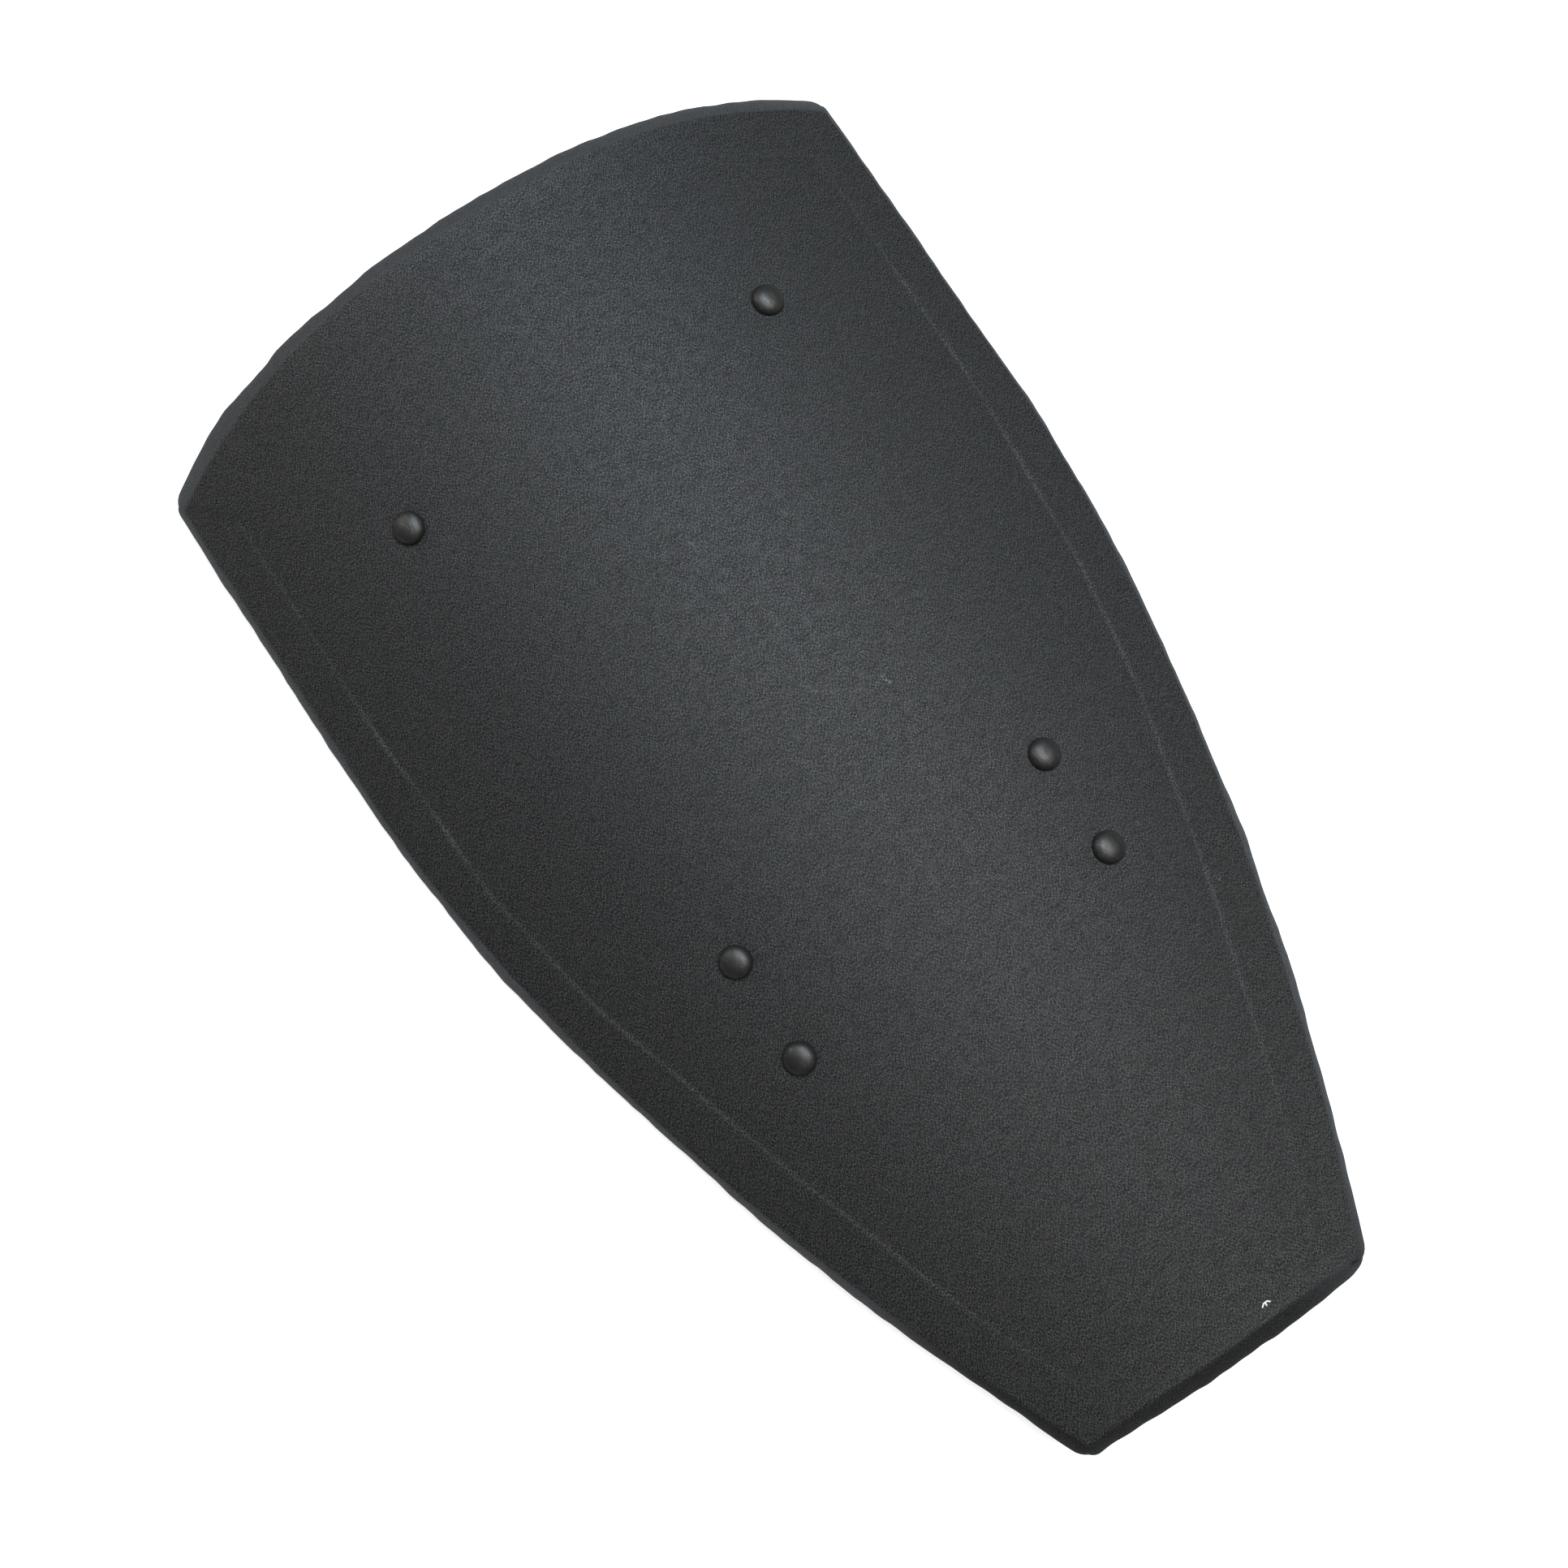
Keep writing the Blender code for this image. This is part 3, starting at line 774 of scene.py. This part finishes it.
class Graph:
    """Short ways to add and link the nodes of a material or a group."""

    def __init__(self, tree):
        self.tree = tree

    def node(self, kind, values=None, **settings):
        made = self.tree.nodes.new(kind)
        for name, value in settings.items():
            setattr(made, name, value)
        for name, value in (values or {}).items():
            self.feed(made.inputs[name], value)
        return made

    def feed(self, socket, value):
        if isinstance(value, bpy.types.NodeSocket):
            self.tree.links.new(value, socket)
        elif socket.type == "RGBA":
            socket.default_value = (*value, 1)
        else:
            socket.default_value = value

    def math(self, operation, *values, clamp=False):
        made = self.node("ShaderNodeMath", operation=operation, use_clamp=clamp)
        for index, value in enumerate(values):
            self.feed(made.inputs[index], value)
        return made.outputs[0]

    def times(self, first, second, clamp=False):
        return self.math("MULTIPLY", first, second, clamp=clamp)

    def linear(self, value, factor, offset):
        return self.math("MULTIPLY_ADD", value, factor, offset)

    def vector(self, operation, *values):
        made = self.node("ShaderNodeVectorMath", operation=operation)
        for index, value in enumerate(values):
            self.feed(made.inputs[index], value)
        return made.outputs["Value" if operation in ("DOT_PRODUCT", "LENGTH", "DISTANCE") else "Vector"]

    def span(self, value, low, high, to_low=0.0, to_high=1.0, smooth=False):
        kind = "SMOOTHSTEP" if smooth else "LINEAR"
        limits = {"Value": value, "From Min": low, "From Max": high, "To Min": to_low, "To Max": to_high}
        return self.node("ShaderNodeMapRange", limits, interpolation_type=kind).outputs["Result"]

    def noise(self, vector, scale, detail=2.0, roughness=0.5):
        values = {"Vector": vector, "Scale": scale, "Detail": detail, "Roughness": roughness}
        return self.node("ShaderNodeTexNoise", values).outputs["Fac"]

    def blend(self, share, first, second):
        made = self.node("ShaderNodeMix", data_type="RGBA")
        self.feed(made.inputs["Factor"], share)
        self.feed(made.inputs[6], first)
        self.feed(made.inputs[7], second)
        return made.outputs[2]

    def stretch(self, vector, x, y, z=1.0, turn=0.0):
        values = {"Vector": vector, "Rotation": (0, 0, turn), "Scale": (x, y, z)}
        return self.node("ShaderNodeMapping", values).outputs["Vector"]

    def layer(self, name):
        return self.node("ShaderNodeAttribute", attribute_name=name).outputs["Fac"]

    def seen(self):
        return self.node("ShaderNodeLightPath").outputs["Is Camera Ray"]

    def flat(self):
        return self.node("ShaderNodeUVMap", uv_map="flat").outputs["UV"]

    def grey(self, value):
        return self.node("ShaderNodeCombineXYZ", {"X": value, "Y": value, "Z": value}).outputs["Vector"]

    def bump(self, height, distance, strength=1.0):
        values = {"Strength": strength, "Distance": distance, "Height": height}
        return self.node("ShaderNodeBump", values).outputs["Normal"]

    def group(self, tree, **values):
        made = self.node("ShaderNodeGroup", node_tree=tree)
        for name, value in values.items():
            self.feed(made.inputs[name.capitalize()], value)
        return made.outputs


def new_group(name, vectors, floats, results):
    """A node group with its sockets, its graph, and the sockets of its input and output nodes."""
    tree = bpy.data.node_groups.new(name, "ShaderNodeTree")
    for kind, sockets in (("Vector", vectors), ("Float", floats)):
        for socket in sockets:
            tree.interface.new_socket(socket, in_out="INPUT", socket_type=f"NodeSocket{kind}")
    for socket in results:
        tree.interface.new_socket(socket, in_out="OUTPUT", socket_type="NodeSocketFloat")
    graph = Graph(tree)
    return tree, graph, graph.node("NodeGroupInput").outputs, graph.node("NodeGroupOutput").inputs


def plain_weave():
    """Plain-woven threads, as heights and tones: uneven along each thread, and a little from crossing to crossing."""
    tree, g, given, result = new_group(
        "plain weave", ["Flat", "Warp", "Weft"], ["Wander", "Unevenness"], ["Height", "Tone"])
    slow = g.math("SUBTRACT", g.noise(given["Flat"], 38), 0.5)
    quick = g.math("SUBTRACT", g.noise(given["Flat"], 330, 1), 0.5)
    drift = g.times(g.linear(quick, 0.2, slow), given["Wander"])
    u = g.math("ADD", g.vector("DOT_PRODUCT", given["Flat"], given["Warp"]), drift)
    v = g.math("SUBTRACT", g.vector("DOT_PRODUCT", given["Flat"], given["Weft"]), drift)
    column = g.math("FLOOR", u)
    row = g.math("FLOOR", v)
    crossing = g.node("ShaderNodeCombineXYZ", {"X": column, "Y": row}).outputs["Vector"]
    chances = []
    for step in ((0, 0, 0), (1, 0, 0), (0, 1, 0), (-1, 0, 0), (0, -1, 0)):
        place = g.vector("ADD", crossing, step)
        chances.append(g.node("ShaderNodeTexWhiteNoise", {"Vector": place}, noise_dimensions="2D").outputs["Value"])
    beside = g.math("ADD", g.math("ADD", *chances[1:3]), g.math("ADD", *chances[3:]))
    beside = g.linear(beside, -0.125, 0.5)
    by_crossing = g.linear(chances[0], 0.5, beside)
    heights = []
    tones = []
    for own, other, number, over, seed, streaky in ((u, v, column, 0.5, 3.0, 0.10), (v, u, row, -0.5, 71.0, 0.34)):
        round_top = g.math("SINE", g.times(g.math("FRACT", own), math.pi))
        turn = g.times(g.math("ADD", g.math("SUBTRACT", other, 0.5), number), math.pi)
        lift = g.linear(g.math("COSINE", turn), over, 0.5)
        along = g.node("ShaderNodeCombineXYZ", {
            "X": g.linear(number, 7.31, seed), "Y": g.times(other, 0.16)}).outputs["Vector"]
        slub = g.span(g.noise(along, 1, 2, 0.6), 0.28, 0.72)
        tone = g.linear(by_crossing, 1.0 - streaky, g.times(slub, streaky))
        tones.append(tone)
        fullness = g.linear(g.math("SUBTRACT", tone, 1), given["Unevenness"], 1)
        heights.append(g.times(g.times(g.math("SQRT", round_top), lift), fullness))
    g.feed(result["Height"], g.math("MAXIMUM", *heights))
    warp_shows = g.math("GREATER_THAN", heights[0], heights[1])
    g.feed(result["Tone"], g.node(
        "ShaderNodeMix", {"Factor": warp_shows, "A": tones[1], "B": tones[0]}).outputs["Result"])
    return tree


def specks():
    """Small spots scattered at random: one in each chosen cell of a given spacing."""
    tree, g, given, result = new_group("specks", ["Place"], ["Spacing", "Size", "Share"], ["Mask"])
    cells = g.node("ShaderNodeTexVoronoi", {
        "Vector": given["Place"], "Scale": g.math("DIVIDE", 1, given["Spacing"]), "Randomness": 1.0})
    away = g.times(cells.outputs["Distance"], given["Spacing"])
    ragged = g.linear(g.noise(given["Place"], 2600, 1), 1.4, -0.2)
    size = g.times(given["Size"], ragged)
    chance = g.node("ShaderNodeSeparateColor", {"Color": cells.outputs["Color"]}).outputs["Red"]
    chosen = g.math("LESS_THAN", chance, given["Share"])
    g.feed(result["Mask"], g.times(g.math("LESS_THAN", away, size), chosen))
    return tree


def mottling():
    """Soft unevenness at two sizes, from -1 to 1."""
    tree, g, given, result = new_group("mottling", ["Place"], ["Broad", "Fine"], ["Value"])
    broad = g.linear(g.noise(given["Place"], given["Broad"], 2, 0.6), 2.4, -1.2)
    fine = g.linear(g.noise(given["Place"], given["Fine"], 2, 0.6), 1.2, -0.6)
    g.feed(result["Value"], g.math("ADD", broad, fine))
    return tree


def scuff():
    """A mark along the line between two points, of which a given share is kept."""
    tree, g, given, result = new_group("scuff", ["Place", "Begin", "End"], ["Width", "Kept"], ["Mask"])
    line = g.vector("SUBTRACT", given["End"], given["Begin"])
    off = g.vector("SUBTRACT", given["Place"], given["Begin"])
    along = g.math("DIVIDE", g.vector("DOT_PRODUCT", off, line), g.vector("DOT_PRODUCT", line, line), clamp=True)
    scaled = g.node("ShaderNodeVectorMath", {"Vector": line, "Scale": along}, operation="SCALE").outputs["Vector"]
    away = g.math("DIVIDE", g.vector("DISTANCE", off, scaled), given["Width"])
    soft = g.span(away, 0, 1, 1, 0, smooth=True)
    g.feed(result["Mask"], g.times(soft, given["Kept"]))
    return tree


WEAVE = plain_weave()
SPECKS = specks()
MOTTLING = mottling()
SCUFF = scuff()

# Rub marks on the front: from, to, width and strength, on the blank
SCUFFS = [
    ((0.0087, 0.3780), (0.0140, 0.3705), 0.0018, 0.30),
    ((0.0140, 0.3705), (0.0370, 0.3560), 0.0016, 0.22),
    ((0.0447, 0.3595), (0.0460, 0.3550), 0.0017, 0.90),
    ((0.0025, 0.4655), (0.0040, 0.4625), 0.0010, 0.50),
    ((0.0490, 0.4548), (0.0510, 0.4513), 0.0008, 0.45),
    ((0.1115, 0.2323), (0.1130, 0.2293), 0.0009, 0.50),
    ((0.1305, 0.1883), (0.1320, 0.1848), 0.0009, 0.45),
    ((-0.0620, 0.2083), (-0.0590, 0.2068), 0.0008, 0.35),
]
# Painted shade, dark lines and spots where the canvas lies in shadow: a scratch, the shadow of the hidden band's edge
# below the head, its mitre at the left corner, four pits, and the notch at the foot's right corner
PAINTED_SHADE_MARKS = [
    ((0.0327, 0.3751), (0.0345, 0.3693), 0.0006, 0.75),
    ((-0.1270, 0.6347), (-0.0900, 0.6381), 0.0008, 0.50),
    ((-0.0900, 0.6381), (-0.0550, 0.6393), 0.0008, 0.50),
    ((-0.2030, 0.6340), (-0.1790, 0.6080), 0.0060, 0.26),
    ((0.0539, 0.3377), (0.0541, 0.3373), 0.0008, 1.00),
    ((0.1206, 0.6287), (0.1208, 0.6285), 0.0010, 0.90),
    ((0.0705, 0.6321), (0.0707, 0.6321), 0.0010, 0.90),
    ((0.0405, 0.6446), (0.0407, 0.6446), 0.0010, 0.90),
    ((0.0735, 0.0063), (0.0765, 0.0050), 0.0021, 1.00),
]
# A fleck of white lint near the foot
LINT = [
    ((0.0247, 0.0172), (0.0261, 0.0181)), ((0.0261, 0.0181), (0.0281, 0.0181)), ((0.0281, 0.0181), (0.0291, 0.0172)),
    ((0.0268, 0.0167), (0.0269, 0.0180)),
]
LINT_WIDTH = 0.0005


def new_material(name):
    made = bpy.data.materials.new(name)
    made.use_nodes = True
    made.node_tree.nodes.clear()
    g = Graph(made.node_tree)
    shader = g.node("ShaderNodeBsdfPrincipled")
    g.node("ShaderNodeOutputMaterial", {"Surface": shader.outputs["BSDF"]})
    return made, g, shader.inputs


def marks(g, flat, lines, kept):
    """The strongest, at each place, of marks that are given by from, to, width and strength."""
    strongest = 0.0
    for begin, end, width, strength in lines:
        mark = g.group(SCUFF, place=flat, begin=(*begin, 0), end=(*end, 0), width=width, kept=kept)
        strongest = g.math("MAXIMUM", strongest, g.times(mark["Mask"], strength))
    return strongest


def canvas_material():
    """Black duck, sized and painted: threads show through and it is rubbed grey along the hidden band, with painted
    light on the rim and painted shade between threads, in pits and along dark lines.
    """
    made, g, shader = new_material("black canvas")
    flat = g.flat()
    weave = g.group(
        WEAVE, flat=flat, wander=1.6, unevenness=0.75,
        warp=(1 / WARP_PITCH, WARP_SKEW / WARP_PITCH, 0),
        weft=(-WEFT_SKEW / WEFT_PITCH, 1 / WEFT_PITCH, 0),
    )
    cloudy = g.group(MOTTLING, place=flat, broad=9, fine=70)["Value"]
    rim = g.layer("rim")
    painted_rim_light = g.layer("painted_rim_light")
    filled = g.linear(g.layer("edge_strip"), -0.25, 1)
    shown = g.times(filled, g.linear(rim, -0.75, 1))
    patchy = g.span(g.noise(flat, 160, 1, 0.5), 0.3, 0.7, 0.75, 1.1)
    shown = g.times(shown, patchy)

    tone = g.span(weave["Tone"], 0.24, 0.76, 0, 2)
    patches = g.linear(g.noise(flat, 520, 2, 0.7), 0.16, 0.92)
    tone = g.times(tone, g.times(patches, g.linear(cloudy, 0.05, 1)))
    # Painted shade in the gaps between threads and a painted highlight on their tops; through the tone it also thins
    # the coat in the gaps
    painted_thread_shade = g.span(weave["Height"], 0.15, 0.72, 0, 1.55)
    tone = g.times(tone, g.linear(g.math("SUBTRACT", painted_thread_shade, 1), shown, 1))
    cool = g.span(g.noise(flat, 75, 2, 0.6), 0.35, 0.65)
    dye = g.blend(cool, (0.0100, 0.0114, 0.0098), (0.0122, 0.0102, 0.0109))
    colour = g.vector("MULTIPLY", dye, g.grey(tone))

    broken = g.times(g.span(g.noise(flat, 700, 3, 0.7), 0.40, 0.62), g.span(weave["Tone"], 0.3, 0.7))
    rubbed = g.times(g.times(g.layer("band"), broken), 0.40)
    # Painted light: the rim turns lighter grey where light falls on it, broken up by noise
    rim_light_strip = g.times(painted_rim_light, g.span(g.noise(flat, 240, 3, 0.7), 0.25, 0.75, 0.55, 1))
    colour = g.blend(rim_light_strip, colour, (0.050, 0.052, 0.055))
    kept = g.span(g.noise(flat, 900, 2, 0.7), 0.45, 0.62)
    rubbed = g.math("MAXIMUM", rubbed, marks(g, flat, SCUFFS, kept))
    colour = g.blend(rubbed, colour, (0.16, 0.165, 0.165))
    kept = g.span(g.noise(flat, 300, 2, 0.7), 0.45, 0.62, 0.7, 1)
    # Painted shade along dark lines and spots, which also takes the coat away there
    shade_lines = marks(g, flat, PAINTED_SHADE_MARKS, kept)
    colour = g.blend(shade_lines, colour, (0.003, 0.003, 0.003))
    # Painted shade in small pits: dark spots, with no hollow in the surface
    pit_shade = g.group(SPECKS, place=flat, spacing=0.021, size=0.00062, share=0.42)["Mask"]
    colour = g.blend(g.times(pit_shade, 0.8), colour, (0.004, 0.004, 0.004))
    askew = g.stretch(flat, 1, 1, turn=1)
    dust = g.group(SPECKS, place=askew, spacing=0.011, size=0.00042, share=0.30)["Mask"]
    colour = g.blend(g.times(dust, 0.16), colour, (0.30, 0.31, 0.31))
    for begin, end in LINT:
        fibre = g.group(SCUFF, place=flat, begin=(*begin, 0), end=(*end, 0), width=LINT_WIDTH, kept=1)
        colour = g.blend(g.times(fibre["Mask"], 1.6, clamp=True), colour, (0.80, 0.80, 0.78))
    g.feed(shader["Base Color"], colour)

    rough = g.linear(cloudy, 0.03, 0.50)
    rough = g.math("ADD", rough, g.times(g.math("MAXIMUM", rubbed, pit_shade), 0.2))
    g.feed(shader["Roughness"], g.linear(rim, 0.22, rough))

    threads = g.times(weave["Height"], shown)
    fuzz = g.times(g.noise(flat, 3100, 1, 0.7), 0.25)
    waves = g.times(g.noise(flat, 150), 0.8)
    surface = g.math("ADD", g.math("ADD", threads, fuzz), waves)
    g.feed(shader["Normal"], g.bump(surface, CANVAS_RELIEF))
    dull = g.linear(g.math("SUBTRACT", rim, painted_rim_light), -0.84, 1)
    gloss = g.times(g.times(dull, tone), 0.28)
    gloss = g.times(gloss, g.math("SUBTRACT", 1, shade_lines))
    g.feed(shader["Coat Weight"], gloss)
    shader["Coat IOR"].default_value = 1.8
    shader["Coat Roughness"].default_value = 0.61
    shader["Specular IOR Level"].default_value = 0.26
    return made


def plywood_material():
    """Stained birch veneer: long grain, fine pores, a few darker streaks, and a thin varnish."""
    made, g, shader = new_material("stained plywood")
    flat = g.flat()
    bent = g.times(g.noise(g.stretch(flat, 6, 1.4), 1, 3), 0.5)
    sideways = g.node("ShaderNodeCombineXYZ", {"X": bent}).outputs["Vector"]
    figure = g.noise(g.vector("ADD", g.stretch(flat, 46, 2.6), sideways), 1, 6, 0.62)
    rings = g.math("SINE", g.times(figure, 46))
    pores = g.span(g.noise(g.stretch(flat, 2600, 70), 1, 2, 0.6), 0.60, 0.72)
    colour = g.blend(g.span(figure, 0.32, 0.68), (0.20, 0.105, 0.050), (0.40, 0.245, 0.13))
    colour = g.blend(g.span(rings, -1, 1, 0, 0.28), colour, (0.145, 0.072, 0.034))
    colour = g.blend(g.times(pores, 0.45), colour, (0.07, 0.035, 0.018))
    cloudy = g.group(MOTTLING, place=flat, broad=7, fine=55)["Value"]
    colour = g.blend(g.span(cloudy, -1.2, 1.2, 0, 0.35), colour, (0.10, 0.055, 0.03))
    spots = g.group(SPECKS, place=flat, spacing=0.05, size=0.0012, share=0.35)["Mask"]
    g.feed(shader["Base Color"], g.blend(g.times(spots, 0.55), colour, (0.05, 0.03, 0.02)))
    g.feed(shader["Roughness"], g.linear(pores, 0.2, g.span(cloudy, -1.2, 1.2, 0.40, 0.56)))
    height = g.math("SUBTRACT", g.times(figure, 0.5), pores)
    g.feed(shader["Normal"], g.bump(height, 0.00012, 0.6))
    return made


def leather_material():
    """Black harness leather: pebbled grain, burnished edges, a pressed crease, and paler wear where it flexes."""
    made, g, shader = new_material("black leather")
    flat = g.flat()
    pebbles = g.node("ShaderNodeTexVoronoi", {"Vector": flat, "Scale": 900.0}, feature="SMOOTH_F1")
    wrinkles = g.noise(g.stretch(flat, 420, 150), 1, 4, 0.65)
    cloudy = g.group(MOTTLING, place=flat, broad=30, fine=160)["Value"]
    edge = g.layer("edge")
    crease = g.layer("crease")
    flex = g.layer("flex")
    colour = g.blend(g.span(cloudy, -1.2, 1.2), (0.021, 0.018, 0.017), (0.034, 0.029, 0.026))
    worn = g.times(g.span(g.noise(flat, 95, 4, 0.7), 0.52, 0.74), g.span(flex, 0, 1, 0.25, 0.8))
    colour = g.blend(worn, colour, (0.085, 0.058, 0.042))
    colour = g.blend(g.times(edge, 0.5), colour, (0.045, 0.030, 0.022))
    colour = g.blend(g.times(crease, 0.6), colour, (0.008, 0.007, 0.007))
    dust = g.group(SPECKS, place=flat, spacing=0.007, size=0.00035, share=0.35)["Mask"]
    g.feed(shader["Base Color"], g.blend(g.times(dust, 0.25), colour, (0.25, 0.24, 0.22)))
    rough = g.linear(edge, -0.12, g.span(cloudy, -1.2, 1.2, 0.42, 0.58))
    g.feed(shader["Roughness"], g.linear(worn, 0.12, rough))
    height = g.math("ADD", g.times(pebbles.outputs["Distance"], 0.6), g.times(wrinkles, 0.5))
    height = g.times(height, g.linear(edge, -0.8, 1))
    g.feed(shader["Normal"], g.bump(height, 0.0002, 0.8))
    return made


def steel_material():
    """Blackened steel, rubbed with grit: dark oxide with fine slanting scratches and a little bare metal."""
    made, g, shader = new_material("blackened steel")
    place = g.node("ShaderNodeTexCoord").outputs["Object"]
    lines = g.noise(g.stretch(place, 3200, 260, 700, turn=math.radians(14)), 1, 4, 0.62)
    cloudy = g.group(MOTTLING, place=place, broad=70, fine=420)["Value"]
    bare = g.times(g.span(lines, 0.54, 0.70), g.span(cloudy, -0.6, 0.9, 0.15, 1))
    colour = g.blend(g.span(cloudy, -1.2, 1.2), (0.043, 0.043, 0.043), (0.064, 0.062, 0.059))
    g.feed(shader["Base Color"], g.blend(g.times(bare, 0.75), colour, (0.27, 0.25, 0.21)))
    shader["Metallic"].default_value = 0.85
    g.feed(shader["Roughness"], g.linear(bare, -0.08, g.span(cloudy, -1.2, 1.2, 0.44, 0.54)))
    g.feed(shader["Normal"], g.bump(lines, 0.00006, 0.35))
    return made


def floor_material():
    """Plain paper that is lit from below, so that it is white to the camera and throws little light at the rim."""
    made, g, shader = new_material("white paper")
    place = g.node("ShaderNodeTexCoord").outputs["Object"]
    tone = g.span(g.noise(place, 3, 3), 0.3, 0.7, FLOOR_TONE - 0.01, FLOOR_TONE + 0.01)
    g.feed(shader["Base Color"], g.grey(tone))
    shader["Roughness"].default_value = 0.9
    seen = g.seen()
    g.feed(shader["Emission Color"], g.blend(seen, (0, 0, 0), WHITE))
    shader["Emission Strength"].default_value = FLOOR_GLOW
    made.cycles.emission_sampling = "NONE"
    return made


# Floor, lights and camera

def make_floor():
    floor = start("primitive_plane_add", size=14)
    floor.name = "floor"
    floor.data.materials.append(floor_material())


def area_light(name, place, size, radiance, colour):
    """A square soft box that faces the shield."""
    light = bpy.data.lights.new(name, "AREA")
    light.shape = "SQUARE"
    light.size = size
    light.energy = radiance * math.pi * size ** 2
    light.color = colour
    lamp = bpy.data.objects.new(name, light)
    bpy.context.scene.collection.objects.link(lamp)
    lamp.location = place
    lamp.rotation_euler = (LIGHT_TARGET - Vector(place)).to_track_quat("-Z", "Y").to_euler()
    lamp.visible_camera = False


def make_lights():
    for name, settings in SOFT_BOXES.items():
        area_light(name, *settings)
    world = bpy.data.worlds.new("studio")
    world.use_nodes = True
    g = Graph(world.node_tree)
    background = world.node_tree.nodes["Background"]
    seen = g.seen()
    g.feed(background.inputs["Strength"], g.span(seen, 0, 1, AMBIENT, WALL_SEEN))
    g.feed(background.inputs["Color"], g.blend(seen, AMBIENT_COLOUR, WHITE))
    bpy.context.scene.world = world


def make_camera():
    """Looks down on the shield as it lies, turned so that the head points up and to the left."""
    camera = bpy.data.cameras.new("camera")
    camera.sensor_fit = "HORIZONTAL"
    camera.lens = CAMERA_LENS
    camera.clip_start = 0.01
    view = bpy.data.objects.new("camera", camera)
    bpy.context.scene.collection.objects.link(view)
    forward = (CAMERA_TARGET - CAMERA_PLACE).normalized()
    to_head = (Vector((0, 1, 0)) - forward * forward.y).normalized()
    top = Matrix.Rotation(CAMERA_TURN, 3, forward) @ to_head
    right = forward.cross(top)
    view.matrix_world = Matrix.Translation(CAMERA_PLACE) @ Matrix((right, top, -forward)).transposed().to_4x4()
    bpy.context.scene.camera = view


def main():
    canvas = canvas_material()
    plywood = plywood_material()
    leather = leather_material()
    steel = steel_material()
    make_canvas(canvas)
    make_board(plywood)
    set_at_rivets(rivet_form(), "dome_rivet", "rivet", steel)
    set_at_rivets(washer_form(), "tail_washer", "washer", steel)
    make_strap("hand_strap", "grip_strap", GRIP_Y, GRIP_RIVET_SPREAD, GRIP_WIDTH, GRIP_RISE, leather)
    make_strap(
        "arm_strap", "forearm_strap", (ARM_UPPER_Y + ARM_LOWER_Y) / 2, ARM_RIVET_SPREAD, ARM_STRAP_WIDTH, ARM_RISE,
        leather,
    )
    make_floor()
    make_lights()
    make_camera()
    bpy.context.scene.view_settings.view_transform = "Standard"


main()
